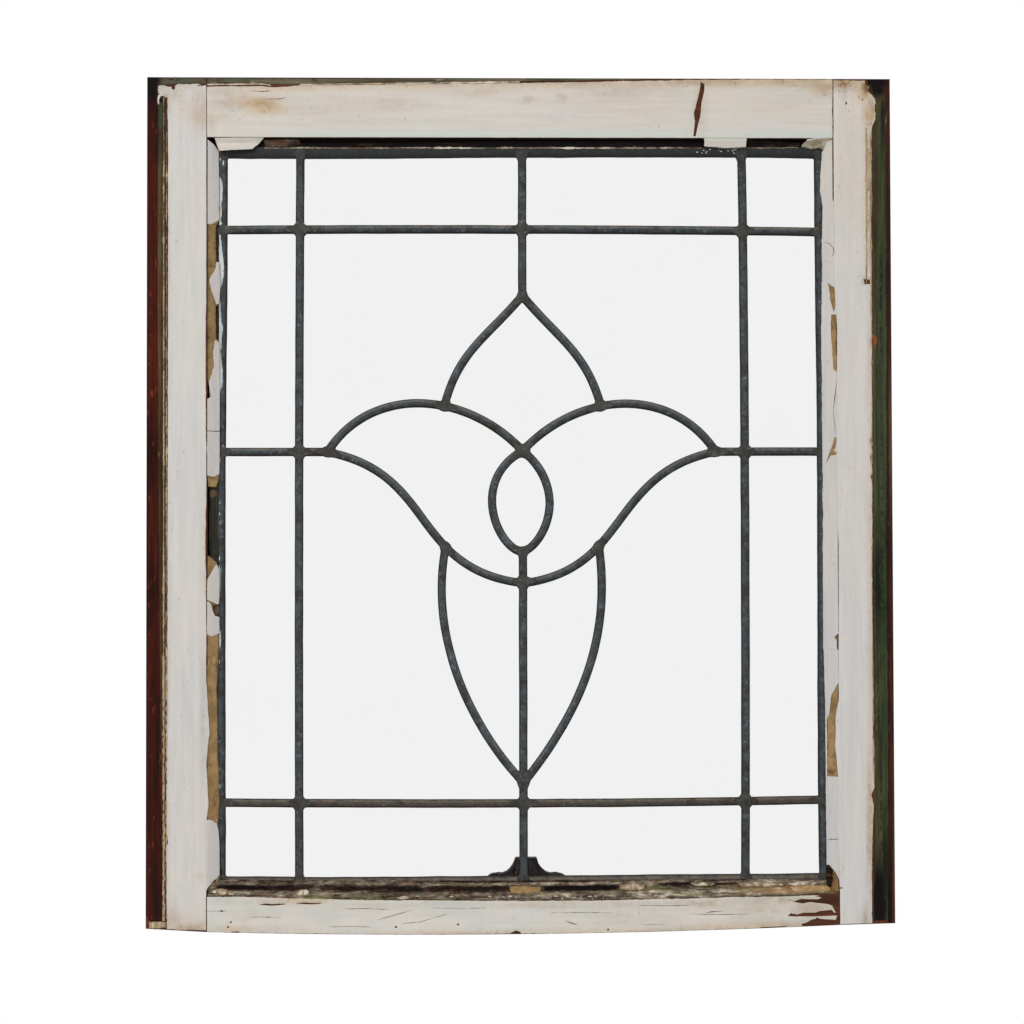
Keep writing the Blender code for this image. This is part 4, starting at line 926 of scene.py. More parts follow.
left_runs = {
    "left_putty_top": [(142.6, 207.4, 209.4), (146, 207.4, 215), (150, 207.4, 218.8), (220, 207.3, 219.0),
                       (227, 207.3, 215.9), (262, 207.3, 216.2), (268, 207.2, 219.0), (304, 207.2, 218.8),
                       (306, 207.2, 215.7), (338, 207.2, 216.2), (342, 207.2, 219.4), (374, 207.2, 219.4),
                       (381, 207.4, 219.4), (384, 209.4, 219.4), (397, 209.6, 219.4), (400, 207.4, 219.4),
                       (430, 207.3, 219.3)],
    "left_putty_upper": [(431.6, 207.3, 219.3), (470, 207.3, 219.2), (478, 207.4, 218.8),
                         (487, 208.2, 216.4)],
    "left_putty_middle": [(556, 207.4, 209.0), (562, 207.4, 216.4), (580, 207.4, 218.6),
                          (603, 207.4, 219.0), (606, 207.4, 213.0), (616, 207.4, 211.6)],
    "left_putty_lower": [(617, 207.4, 219.0), (660, 206.8, 218.4), (680, 206.6, 217.3),
                         (693, 206.6, 216.7), (720, 206.6, 217.6), (755, 206.4, 217.7),
                         (773, 206.4, 218.7), (800, 206.8, 219.3), (821, 207.0, 217.8),
                         (860, 207.4, 219.0), (878, 207.4, 219.0), (886, 207.4, 216.0)],
}
left_shadows = stains((207.7, 320, .6, 200, .55), (207.4, 700, .5, 100, .4), (211, 223.4, 6, 1.1, .9),
    (216, 243, 1.0, 16, .7), (212, 266, 5, 1.0, .6), (216, 322, 1.0, 14, .7), (210, 385, 2, 1.2, .8),
    (210, 605, 3, 1.0, .7), (217.4, 690, .8, 60, .5), (213, 477, 6, 1.0, .8))
for i, (node, rows) in enumerate(left_runs.items()):
    piece = Piece()
    putty_body(piece, "left", column(rows), 300 + i, left_shadows)
    piece.make(node + "_tan", "putty", [tan_putty], [node])

piece = Piece()
putty_skin(piece, "left", [(206.9, 139.6, .05), (209.5, 141.2, .15), (214.4, 145.0, .2), (218.6, 151, .12),
    (219.0, 219.2, .2), (216, 221.6, .25), (211, 225.0, .25), (206.9, 224.2, .06)], 330,
    [[(218.6, 206, .1), (220, 206.5, .1), (219.8, 210.6, .1), (218.6, 209.6, .1)]])
putty_skin(piece, "left", [(216.5, 261.6, .2), (215.2, 269, .25), (209.6, 280, .25), (211.2, 290, .25),
    (216.3, 304, .2), (218.9, 303, .2), (220.4, 284, .2), (218.8, 262, .2)], 331, curl=.6)
putty_skin(piece, "left", [(215, 340, .25), (213, 352, .25), (214, 366, .25), (209, 383, .25),
    (211, 397, .25), (207.0, 399.4, .1), (206.9, 430.9, .08), (213, 431.0, .08), (219.4, 430.8, .08),
    (219.4, 342, .2)], 332)
putty_skin(piece, "left", [(206.9, 431.5, .08), (213, 431.6, .08), (219.4, 431.4, .08), (219.3, 474, .3),
    (213, 477.0, .3), (206.9, 475.0, .1)], 333)
putty_skin(piece, "left", [(207.6, 579.6, .2), (216.5, 563.4, .2), (218.9, 570, .2), (219.0, 603.4, .2),
    (217.4, 604.6, .15), (211.4, 601.6, .2), (206.9, 600.0, .1)], 334, curl=.6)
putty_skin(piece, "left", [(206.9, 600.9, .1), (209.6, 602.2, .15), (211.2, 604.6, .15),
    (212.6, 609.4, .15), (214.6, 615.4, .15), (219.2, 617.2, .15), (219.4, 633, .25), (212, 636.6, .3),
    (206.9, 634.4, .1)], 335)
putty_skin(piece, "left", [(203.5, 821.5, .05), (205.6, 820.6, .05), (208.4, 819.2, .2), (212, 820.0, .2),
    (216.6, 823.4, .2), (218.6, 832, .2), (219.2, 842, .12), (219.4, 875, .2), (216.5, 878.6, .3),
    (213.4, 880.6, .3), (211.4, 883.8, .3), (208.4, 887.4, .3), (206.6, 890.4, .15), (203.5, 890, .05)],
    336, curl=.05, extra=.68, bare=0)
piece.make("left_putty_paint", "putty", [putty_paint])

right_runs = {
    "right_putty_upper": [(142, 825.0, 832.6), (150, 822.6, 832.6), (229, 823.4, 833.6),
                          (240, 823.0, 834.2), (300, 822.8, 836.8), (372, 822.6, 837.0),
                          (450, 823.6, 837.4), (545, 824.2, 838.0), (643, 824.4, 838.2),
                          (649.6, 825.4, 838.2)],
    "right_putty_lower": [(668, 829.0, 838.4), (684, 827.6, 838.6), (700, 827.4, 838.6),
                          (776, 827.4, 838.6), (840, 827.6, 838.6), (862, 828.0, 838.6),
                          (866, 829.0, 838.6), (872, 835, 838.6)],
}
right_shadows = stains((838.2, 640, .8, 50, .9), (831, 772, 4, 2.2, .8), (830.6, 330, .8, 12, .5),
    (836.6, 345, .7, 26, .5), (829, 250, 3, 2, .4), (828, 292, 1, 8, .5))
for i, (node, rows) in enumerate(right_runs.items()):
    piece = Piece()
    putty_body(piece, "right", column(rows), 310 + i, right_shadows)
    piece.make(node + "_tan", "putty", [tan_putty], [node])

piece = Piece()
putty_skin(piece, "right", [(822.4, 151.5, .2), (826, 146, .3), (831.8, 139.6, .1), (832.2, 199.6, .04),
    (834.0, 204, .2), (834.0, 238, .15), (834.8, 263, .08), (822.6, 263, .08), (822.2, 250, .25),
    (822.4, 236, .3), (822.8, 220, .3), (823.0, 205, .3), (820.6, 190, .25)], 340,
    [slit([(824.8, 241.8), (829.6, 243.9), (833.0, 248.6), (833.5, 253), (831.4, 257)], .6)], curl=.15)
putty_skin(piece, "right", [(822.8, 262.2, .08), (829, 262.4, .08), (834.7, 262.2, .08), (835, 300, .15),
    (837.2, 316, .15), (837.2, 372, .15), (837.4, 545, .12), (838.2, 633, .1), (836.8, 634.4, .1),
    (833.8, 637.4, .1), (836.2, 639.8, .1), (836.6, 649.2, .1), (828, 649.6, .15), (823.9, 649.4, .15),
    (823.5, 560, .3), (822.9, 440, .3), (821.8, 330, .3)], 341,
    [[(826.6, 282, .25), (835.4, 289, .25), (835.2, 304, .25), (833.5, 313, .2), (830.2, 300, .25),
      (828.6, 286, .25)], [(831.0, 315, .2), (837.6, 315, .1), (836.8, 373, .2), (833.2, 370, .25),
    (830.8, 334, .25)], slit([(836.6, 373.6), (835.4, 388), (834.1, 400), (832.9, 412.6), (834.1, 423),
    (834.9, 435.4)], .55), [(834.2, 437, .1), (836.0, 438, .1), (835.4, 446, .1), (833.4, 451, .1),
    (837.2, 453.6, .1), (834, 455.2, .1), (830.6, 455.4, .1), (828.2, 460, .1), (826.4, 463, .1),
    (829.4, 453, .1), (832, 446, .1)]], curl=.3, extra=.16)
putty_skin(piece, "right", [(824.2, 648.4, .1), (829, 648.6, .1), (836.4, 648.6, .1), (838.2, 650.4, .1),
    (838.6, 682, .2), (831.6, 694.6, .25), (829.4, 714.6, .25), (827.2, 719, .2), (827.8, 766, .2),
    (827.4, 776, .15), (826.2, 777, .1), (825.6, 700, .15)], 342, curl=.2, extra=.17)
putty_skin(piece, "right", [(826.4, 776, .15), (838.2, 776.6, .2), (841.6, 778, .05), (841.8, 884, .03),
    (839.6, 882.5, .1), (838.8, 879.4, .2), (836.8, 875.4, .2), (834.4, 871.4, .2), (832.0, 867.6, .2),
    (829.2, 864.0, .2), (827.2, 866.0, .2), (826.9, 850, .15), (826.2, 776, .12)], 343,
    [slit([(827.6, 839.4), (834, 839.2), (841.4, 838.8)], .6)], curl=.05, extra=.68, bare=0)
piece.make("right_putty_paint", "putty", [putty_paint])

CRUMBLED = {"lip": 0.5, "round_edge": 0.2}
FLAT = {"lip": 0, "round_edge": 0.4}

# Bare wood and old dirt in the right bottom corner
piece = Piece()
patch(piece, [(833.2, 871, .25), (836.4, 875.6, .2), (838.4, 880, .15), (838.9, 891.4, .1),
    (833.6, 891.4, .3), (830.8, 888.6, .4), (833.2, 880.4, .4)], -13, uneven(-16.7, 0.5, 6, 351),
    level(CAME_FACE), 1.6, 350, **CRUMBLED)
patch(piece, [(826.6, 865, .2), (829, 864.4, .2), (832.4, 868.2, .2), (834.2, 873, .3), (833.6, 880, .4),
    (831.4, 888.6, .4), (827.2, 887.4, .4), (826.4, 876, .3)], -12, uneven(-12.2, 0.9, 5, 353),
    level(CAME_FACE), 1.6, 352, kind=1, tone=uneven(0.10, 0.22, 4, 354), **CRUMBLED)
patch(piece, [(825.4, 887.6, .3), (832, 887.2, .3), (839.0, 888.6, .1), (839.0, 894.2, .1),
    (832, 895.0, .2), (825.4, 895.2, .2)], -13, uneven(-14.4, 0.8, 5, 358), level(CAME_FACE), 1.6, 355,
    kind=1, tone=uneven(0.5, 0.3, 4, 359), warm=level(0.5), **CRUMBLED)
piece.make("corner_wood", "painted_wood", [bare_wood, debris])

# Crumbled end of the left putty
piece = Piece()
patch(piece, [(216.5, 877.4, .3), (219.6, 875.4, .2), (224.0, 879.4, .3), (224.8, 889.2, .3),
    (214, 890.4, .3), (207.2, 892.6, .2), (207.3, 888.6, .2), (211.4, 883.0, .3)], -13,
    putty_slope("left", -0.9, 0.9, 5, 357), level(CAME_FACE + 0.05), 1.4, 356,
    tone=uneven(0.42, 0.3, 4, 358, (2, 1)), **CRUMBLED)
piece.make("left_putty_crumbs", "putty", [debris])

# What is left along the top: bed residue on the lead, a curled flake, two pieces; painted shade under the
# rail
top_bits = {
    "top_putty_left": [(221, 138.6), (262, 138.2), (258, 141.0), (252, 144.6), (226, 145.4)],
    "top_putty_middle": [(704, 138.4), (746, 138.2), (745.6, 146.4), (727, 147.2), (705, 145.6)],
    "top_putty_right": [(801.6, 146.4), (803.4, 143.4), (807, 140.2), (818, 139.0), (831.8, 138.0),
                        (831.9, 146), (826, 150.6), (820, 147.6), (812, 148.8)],
}
for i, (node, points) in enumerate(top_bits.items()):
    piece = Piece()
    slope = putty_slope("top", -4.0 if i == 0 else -0.5, 0.5, 7, 360 + i)
    patch(piece, [(*p, .3) for p in points], PUTTY_DEPTH, no_deeper(slope, CAME_FACE - 0.3),
          level(CAME_FACE + 0.05), 1.7, 360 + i, lip=.6, round_edge=.12)
    piece.make(node + "_tan", "putty", [tan_putty if i < 2 else grey_putty], [node])


def flake_face(x, z):
    """The flake hangs from the rail's edge and curls out at its foot."""
    down = OPENING_TOP - z
    hang, curl = np.clip(down / 5, 0, 1), np.clip((down - 4) / 8, 0, 1)
    return FACE - 0.1 + 5.4 * hang - 6.3 * curl ** 1.5 + 0.5 * np.sin(x / 9)


piece = Piece()
patch(piece, [(214.6, 138.0, .05), (264.4, 137.4, .1), (259.4, 142.4, .1), (253.8, 147.0, .1),
    (252.6, 148.8, .1), (240, 149.6, .2), (219.6, 151.2, .15), (216.6, 144, .2)], -16, flake_face,
    lambda x, z: flake_face(x, z) + PAINT, 1.8, 370, lip=.5, round_edge=.3)
putty_skin(piece, "top", [(703.6, 137.4, .1), (746.4, 137.2, .1), (746.0, 147.0, .2), (727, 147.8, .25),
    (704.4, 146.2, .25)], 371, curl=.5)
putty_skin(piece, "top", [(826.0, 142.6, .3), (832.2, 140.2, .1), (831.9, 146, .1), (826.6, 150.6, .25),
    (822.0, 152.4, .25), (824.6, 147.4, .3)], 372, curl=.2)
putty_skin(piece, "top", [(806.4, 140.0, .1), (818, 138.2, .1), (832.0, 137.9, .05), (832.0, 139.2, .1),
    (818, 139.8, .2), (806.8, 141.4, .2)], 373, curl=.2)
piece.make("top_putty_paint", "putty", [paint_across])


piece = Piece()
# A dark sheet on the lead under the top rail: painted shade, near black
patch(piece, [(213, 143.0, .2), (300, 142.8, .3), (520, 142.6, .3), (740, 142.4, .3), (824, 142.6, .3),
    (823, 147.2, .5), (740, 147.0, .5), (620, 147.4, .5), (520, 147.2, .5), (400, 147.4, .5),
    (300, 147.2, .5), (213, 147.4, .5)], -8.8, uneven(CAME_FACE - 0.5, 0.3, 6, 381),
    level(CAME_FACE + 0.1), 1.8, 380, 1.0, tone=uneven(-0.06, 0.14, 9, 382, (4, 1)), lip=.5)
line = [(264, 147.9), (300, 147.7), (340, 148.0), (420, 147.8), (480, 148.1), (520, 147.8), (600, 148.0),
        (690, 147.8), (750, 147.9), (798, 147.4)]
patch(piece, [(px, py - .7, .45) for px, py in line] + [(px, py + .7, .45) for px, py in line[::-1]], -8.9,
      uneven(CAME_FACE - 0.75, 0.3, 4, 384), level(CAME_FACE + 0.1), 1.2, 383, 0.7,
      tone=uneven(0.72, 0.34, 12, 385, (3, 1)), lip=.3)
# Brown stain of the wood behind the flake
patch(piece, [(263, 139.6, .3), (280, 138.6, .3), (299, 139.4, .4), (302, 144, .4), (290, 146.6, .4),
    (266, 146.8, .4)], -11, uneven(-11.4, 0.8, 6, 387), level(CAME_FACE + 0.1), 1.6, 386,
    tone=uneven(0.34, 0.2, 6, 388, (3, 1)), lip=.4)
# A near black sheet in the gap under the rail at the right: painted shade
patch(piece, [(747, 139.4, .3), (776, 140.4, .3), (801, 142.4, .3), (800, 146.4, .4), (770, 146.6, .4),
    (747.4, 147.0, .3)], -11, uneven(-10.4, 0.6, 6, 390), level(CAME_FACE + 0.1), 1.6, 389,
    tone=uneven(0.02, 0.14, 6, 391, (3, 1)), lip=.4)
piece.make("top_bed_residue_and_shade", "putty", [debris])


# ---------------------------------------------------------------- crumbling bed along the meeting rail

BED_TOP = spot(MIDDLE, 880.4, -10)[1]
# Hollows where the putty has broken out: from px, to px, how deep
HOLLOWS = [(226, 268, 0.9), (268, 300, 0.6), (322, 420, 0.5), (430, 507, 0.6), (544, 617, 1.0)]


def bed_share(x, z):
    """0 at the bed's upper edge, 1 at the meeting rail."""
    return (BED_TOP - z) / (BED_TOP - (OPENING_BOTTOM - sag(x)))


def trench(x, z):
    """Where the putty has broken out: hollows in the middle of the bed, painted black as shade."""
    share = bed_share(x, z) + 0.03 * wobbles(x, z, 14, 398, 3)
    found = np.zeros(len(x))
    for a, b, deep in HOLLOWS:
        found = np.maximum(found, deep * between(x, spot(a, 888, -10)[0], spot(b, 888, -10)[0], 3.0))
    return found * between(share, 0.30, 0.52, 0.05)


def bed_front(x, z):
    share = bed_share(x, z)
    slope = -9.3 - 7.4 * smooth(0.15, 1.0, share)
    rough = 0.8 * wobbles(x, z, 7, 401, 5, (2.4, 1)) + 0.45 * wobbles(x, z, 2.2, 402, 3, (2.4, 1))
    deep = trench(x, z)
    return np.minimum((slope + rough) * (1 - deep) + (CAME_FACE - 0.35) * deep, CAME_FACE - 0.15)


def bed_tone(x, z):
    share = bed_share(x, z) + 0.04 * wobbles(x, z, 16, 396, 3, (3, 1))
    value = 0.42 + 0.12 * wobbles(x, z, 14, 403, 4, (3, 1)) + 0.22 * wobbles(x, z, 3.4, 404, 4, (2.5, 1))
    value += 0.15 * between(share, 0.10, 0.2, 0.04) - 0.10 * between(share, 0.26, 0.52, 0.05)
    value += 0.12 * between(share, 0.58, 0.76, 0.04) + 0.06 * between(share, 0.8, 0.97, 0.04)
    value += 0.10 * between(share, 0.08, 0.30, 0.04) * between(x, -50, 80, 15)
    value += 0.12 * smooth(70, 110, x) - 0.06 * (1 - smooth(-215, -175, x)) * between(share, 0, 0.5, 0.05)
    value -= 0.22 * between(x, 108, 150, 6) * between(share, 0.16, 0.28, 0.04)
    value -= 0.2 * between(x, 148, 182, 6) * between(share, -0.2, 0.08, 0.04)
    # A black crack under the pale line, and the dark seam where the bed meets the border strip
    crack = 0.5 + 0.035 * wobbles(x, z, 26, 395, 3, (2, 1))
    value -= 0.5 * between(x, 108, 178, 4) * np.exp(-((bed_share(x, z) - crack + 0.26) / 0.05) ** 2)
    value -= 0.3 * between(x, -90, 60, 20) * np.exp(-((bed_share(x, z) - 0.06) / 0.06) ** 2)
    # The hollows are painted black: painted shade
    deep = trench(x, z)
    return value * (1 - deep) - 0.1 * deep


def bed_warmth(x, z):
    """Tan where the bed is clean at the right end."""
    tan = 0.9 * smooth(150, 215, x) * between(bed_share(x, z), 0.3, 0.85, 0.08)
    return np.clip(tan * (0.6 + 0.7 * wobbles(x, z, 9, 405, 4, (3, 1))), 0, 1)


bed_columns = [208, 240, 280, 320, 380, 440, 500, 560, 620, 680, 730, 780, 828]
bed_rows = [880.6, 879.8, 880.2, 880.6, 880.4, 880.8, 881.0, 880.4, 880.4, 879.8, 879.6, 879.4, 880.2]
outline = [(px, rail_top(px) - 0.1, .05) for px in bed_columns]
outline += [(px, py, .45) for px, py in zip(bed_columns[::-1], bed_rows[::-1])]
piece = Piece()
patch(piece, outline, -11, bed_front, level(CAME_FACE + 0.1), 1.2, 400, 1.0, tone=bed_tone,
      warm=bed_warmth, **CRUMBLED)
# Pieces of putty that still hold: outline, front, tone and warmth
lumps = [
    ([(509.5, 887.2), (522, 886.0), (541, 887.0), (540.5, 892.5), (528, 894.0), (511, 893.2)],
     -14.6, .5, .7),
    ([(619, 885.0), (634, 883.6), (646, 884.4), (645, 890.0), (630, 891.0), (620, 889.6)], -13.6, .72, .25),
    ([(216.4, 890.2), (221, 888.8), (227, 889.4), (227.0, 894.4), (219.6, 894.6)], -16.2, .84, .5),
    ([(212.4, 890.8), (217.6, 889.6), (216.4, 893.2), (212.8, 893.0)], -16.0, .98, 0),
    ([(297.4, 893.6), (300.2, 890.0), (303.4, 890.4), (303.6, 894.0), (299.6, 896.0)], -16.0, .95, .2),
    ([(302.4, 890.2), (306, 889.4), (308.8, 891.0), (308.4, 894.6), (303.8, 895.0)], -15.6, 1.0, .1),
    ([(396, 896.8), (403, 895.8), (411, 897.0), (408, 899.2), (398, 899.0)], -16.6, .84, .2),
    ([(789, 886.6), (806, 884.6), (826, 885.4), (831, 888.6), (828, 891.4), (812, 892.6), (792, 891.2)],
     -15.4, .66, .9),
    ([(738, 884.0), (752, 882.2), (770, 882.6), (786, 884.4), (776, 887.6), (756, 886.6), (742, 887.0)],
     -12.6, .78, .2),
    ([(788, 884.2), (800, 882.0), (818, 883.0), (812, 886.6), (798, 887.8)], -12.4, .94, 0),
    ([(690, 883.4), (702, 882.2), (716, 883.6), (712, 886.2), (696, 886.4)], -12.2, .8, 0),
]
for i, (points, height, shade, heat) in enumerate(lumps):
    patch(piece, [(*p, .35) for p in points], PUTTY_DEPTH, uneven(height, 0.8, 4, 440 + i), level(-9), 1.2,
          430 + i, 0.7, tone=uneven(shade, 0.34, 4, 450 + i), warm=level(heat), lip=.5, round_edge=.3)


def diamond(px, py, w, h, rough):
    """Outline of a crumb or speck."""
    return [(px - w, py, rough), (px, py - h, rough), (px + w, py, rough), (px, py + h, rough)]


# White crumbs along the seam, most of them right of the middle
CRUMBS, NEAR_MIDDLE = 84, 62
rng = random.Random(77)
for i in range(CRUMBS):
    px = rng.uniform(484, 704) if i < NEAR_MIDDLE else rng.uniform(216, 826)
    py = rail_top(px) - rng.uniform(1.6, 4.6)
    w, h = rng.uniform(0.7, 3.6), rng.uniform(0.35, 1.0)
    patch(piece, diamond(px, py, w, h, .3), -15.5, uneven(-17.0, 0.4, 3, 560 + i), level(-12.5), 1.2,
          460 + i, 0.6, tone=uneven(0.98, 0.1, 4, 660 + i), lip=0, round_edge=.3)
piece.make("bottom_bed", "putty", [debris], ["bottom_putty"])


# ---------------------------------------------------------------- lead

NARROW, WIDE = 6.85, 12.7              # widths of the strips' faces
HEART_HALF, CHANNEL_HALF = 0.8, 1.8
FLANGE_EDGE, FLANGE_CROWN = 2.35, 3.3  # half thickness of the strip at its edge and on its crown
SWEEP_STEP = 3.0


def rounding(t):
    """Height of a flange's rounded face, from 1 in its middle (t = 0) to 0 at its edges (t = -1 and 1)."""
    return (1 - abs(t) ** 2.6) ** 0.8


def section(width):
    """The H of a lead strip as (across, depth, edge mark) round its middle, front flange first."""
    half = width / 2
    front = []
    for i in range(11):
        t = -1 + i / 5
        front.append((t * half, -(FLANGE_EDGE + (FLANGE_CROWN - FLANGE_EDGE) * rounding(t)), abs(t) ** 2.2))
    right = [(x, y, 1) for x, y in ((half, -CHANNEL_HALF), (HEART_HALF, -CHANNEL_HALF),
                                    (HEART_HALF, CHANNEL_HALF), (half, CHANNEL_HALF))]
    back = [(x, -y, e) for x, y, e in front[::-1]]
    left = [(-x, y, e) for x, y, e in right[::-1]]
    return front + right + back + left


def sweep(piece, path, width, kind, seed, painted_shade=0.0):
    """Adds a lead strip along a path of (x, z) from the panel's centre.

    The tone mark is high on an upper edge, for a painted highlight there and painted shade below, and level
    strips are warmer low in the panel. A share of painted shade may darken the whole strip.
    """
    path = np.array(path, float)
    lengths = np.concatenate([[0], np.cumsum(np.linalg.norm(np.diff(path, axis=0), axis=1))])
    count = max(2, int(lengths[-1] / SWEEP_STEP) + 1)
    at = np.linspace(0, lengths[-1], count)
    line = np.stack([np.interp(at, lengths, path[:, i]) for i in range(2)], 1)
    run = np.gradient(line, axis=0)
    run /= np.linalg.norm(run, axis=1)[:, None]
    side = np.stack([run[:, 1], -run[:, 0]], 1)
    shape = section(width)
    points, marks = [], []
    for s, (x, z), (nx, nz) in zip(at, line, side):
        drift = 0.16 * wobble(s, seed * 13.7, 38, seed, 2)
        flare = 1 + 0.022 * wobble(s, seed * 5.1, 16, seed + 1, 3)
        swell = 0.10 * wobble(s, seed * 3.3, 9, seed + 2, 3)
        for across, depth, edge in shape:
            u = across * flare + drift
            bulge = math.copysign(1, depth) * swell * (1 - edge) if abs(depth) > CHANNEL_HALF else 0
            points.append((PANEL_X + x + nx * u, PANEL_Y + depth + bulge, PANEL_Z + z + nz * u))
            marks.append((edge, painted_shade, 0.5 + nz * across / width, float(kind * smooth(-60, -240, z))))
    n, faces = len(shape), []
    for i in range(count - 1):
        for j in range(n):
            k = (j + 1) % n
            faces.append((i * n + j, i * n + k, (i + 1) * n + k, (i + 1) * n + j))
    faces.append(tuple(range(n))[::-1])
    faces.append(tuple((count - 1) * n + j for j in range(n)))
    piece.add(points, faces, kind, np.array(marks))


def bezier(a, b, c, d, t=np.linspace(0, 1, 40)[:, None]):
    """Points at the shares t of a line of four Bezier points."""
    a, b, c, d = (np.array(p, float) for p in (a, b, c, d))
    return (1 - t) ** 3 * a + 3 * (1 - t) ** 2 * t * b + 3 * (1 - t) * t ** 2 * c + t ** 3 * d


def on(line, share):
    """The point at this share of a line of four Bezier points."""
    return tuple(bezier(*line, share))


COLUMN, ROW, BAR = 182.65, 235.0, 52.1   # the columns' x, the rows' z and the z of the bars beside the flower
BORDER_X, BORDER_Z = PANEL_HALF_WIDTH - WIDE / 2, PANEL_HALF_HEIGHT - WIDE / 2
# The long strips bow by about a millimetre: left and right column, upper and lower row
columns = {-1: [(-183.0, -BORDER_Z), (-183.7, -100), (-183.4, 100), (-182.2, BORDER_Z)],
           1: [(181.6, -BORDER_Z), (182.9, -100), (183.6, 100), (181.3, BORDER_Z)]}
rows = {1: [(-BORDER_X, 234.6), (-80, 235.6), (80, 235.9), (BORDER_X, 233.6)],
        -1: [(-BORDER_X, -234.2), (-80, -236.1), (80, -236.5), (BORDER_X, -233.7)]}
BUD_APEX, PETALS_MEET, EYE_FOOT = (0, 180.7), (0, 53.0), (0, -30.3)
STEM_JOINT, LEAF_FOOT = (0, -55.8), (0, -219.0)


class Half:
    """The strips of one half of the flower, each as four Bezier points."""

    def __init__(self, tip, top, under, eye, bud, leaf, bud_share, leaf_share):
        self.tip, self.bud_share, self.leaf_share = tip, bud_share, leaf_share
        self.top = (tip, *top, PETALS_MEET)
        self.under = (tip, *under, STEM_JOINT)
        self.eye = (PETALS_MEET, *eye, EYE_FOOT)
        self.bud = (BUD_APEX, *bud, on(self.top, bud_share))
        self.leaf = (on(self.under, leaf_share), *leaf, LEAF_FOOT)


halves = {
    -1: Half((-160.2, 52.1), [(-121.9, 110.3), (-44.4, 100.1)], [(-69.5, 34.2), (-93.6, -43.8)],
             [(-45.9, 26.6), (-18.5, -29.1)], [(-29.6, 146.3), (-52.9, 134.1)],
             [(-75.9, -90.6), (-51.3, -164.1)], 0.602, 0.663),
    1: Half((158.8, 52.1), [(120.9, 108.9), (45.1, 100.6)], [(70.3, 34.3), (88.7, -44.6)],
            [(39.0, 20.3), (17.9, -23.2)], [(29.1, 145.5), (52.4, 134.2)], [(72.1, -96.8), (50.7, -157.0)],
            0.600, 0.655),
}
left, right = halves[-1], halves[1]

UPRIGHT, LEVEL = 0, 1
# The border strips have bowed a little: (offset to the right, z) up each side, and (x, offset up)
# along the top and the bottom
left_border = [(-BORDER_X + d, z) for d, z in ((-1.2, -PANEL_HALF_HEIGHT), (-1.5, -200), (-1.7, -100),
    (-1.7, 30), (-1.2, 100), (-0.5, 180), (0, PANEL_HALF_HEIGHT))]
right_border = [(BORDER_X + d, z) for d, z in ((0.8, -PANEL_HALF_HEIGHT), (0.4, -280), (0.1, -220),
    (0.3, -133), (0.7, -35), (0.9, 80), (0.6, 130), (0, 185), (-0.4, PANEL_HALF_HEIGHT))]
top_border = [(-BORDER_X, 0), (-165, -0.2), (-100, 0.2), (-50, 0.9), (0, 1.2), (60, 1.5), (155, 1.7),
    (202, 1.5), (BORDER_X, 0.6)]
bottom_border = [(-BORDER_X, -0.4), (-170, -1.4), (-110, -1.5), (-50, -1.3), (60, -1.1), (113, -0.5),
    (202, -0.5), (BORDER_X, 0)]
strips = {
    "border_came": [
        (left_border, WIDE, UPRIGHT), (right_border, WIDE, UPRIGHT),
        # The top strip lies under the rail: its last number is its painted shade
        ([(x, BORDER_Z + d) for x, d in top_border], WIDE, LEVEL, 0.75),
        ([(x, -BORDER_Z + d) for x, d in bottom_border], WIDE, LEVEL)],
    "grid_came": [
        (bezier(*columns[-1]), NARROW, UPRIGHT), (bezier(*columns[1]), NARROW, UPRIGHT),
        (bezier(*rows[1]), NARROW, LEVEL), (bezier(*rows[-1]), NARROW, LEVEL),
        ([(-BORDER_X, BAR), left.tip], NARROW, LEVEL), ([(BORDER_X, BAR), right.tip], NARROW, LEVEL),
        ([(0, BORDER_Z), BUD_APEX], NARROW, UPRIGHT), ([(0, -ROW), (0, -BORDER_Z)], NARROW, UPRIGHT)],
    "bud_came": [(bezier(*left.bud), NARROW, UPRIGHT), (bezier(*right.bud), NARROW, UPRIGHT)],
    "left_petal_came": [(bezier(*left.top), NARROW, LEVEL), (bezier(*left.under), NARROW, LEVEL)],
    "right_petal_came": [(bezier(*right.top), NARROW, LEVEL), (bezier(*right.under), NARROW, LEVEL)],
    "eye_came": [(bezier(*left.eye), NARROW, UPRIGHT), (bezier(*right.eye), NARROW, UPRIGHT)],
    "stem_came": [([EYE_FOOT, (0, -ROW)], NARROW, UPRIGHT)],
    "left_leaf_came": [(bezier(*left.leaf), NARROW, UPRIGHT)],
    "right_leaf_came": [(bezier(*right.leaf), NARROW, UPRIGHT)],
}
for i, (node, lines) in enumerate(strips.items()):
    piece = Piece()
    for j, (path, width, kind, *painted_shade) in enumerate(lines):
        sweep(piece, path, width, kind, 500 + 10 * i + j, *painted_shade)
    piece.make(node + "_lead", "lead", [lead_up, lead_across], [node])


def towards(line, share, step):
    """The direction along a line from its point at a share."""
    d = np.subtract(on(line, share + step), on(line, share))
    return tuple(d / np.linalg.norm(d))


def column_x(side, z):
    path = bezier(*columns[side])
    return float(np.interp(z, path[:, 1], path[:, 0]))


def row_z(side, x):
    path = bezier(*rows[side])
    return float(np.interp(x, path[:, 0], path[:, 1]))


def border_x(side, z):
    xs, zs = zip(*(left_border if side < 0 else right_border))
    return float(np.interp(z, zs, xs))


L, R, U, D = (-1, 0), (1, 0), (0, 1), (0, -1)
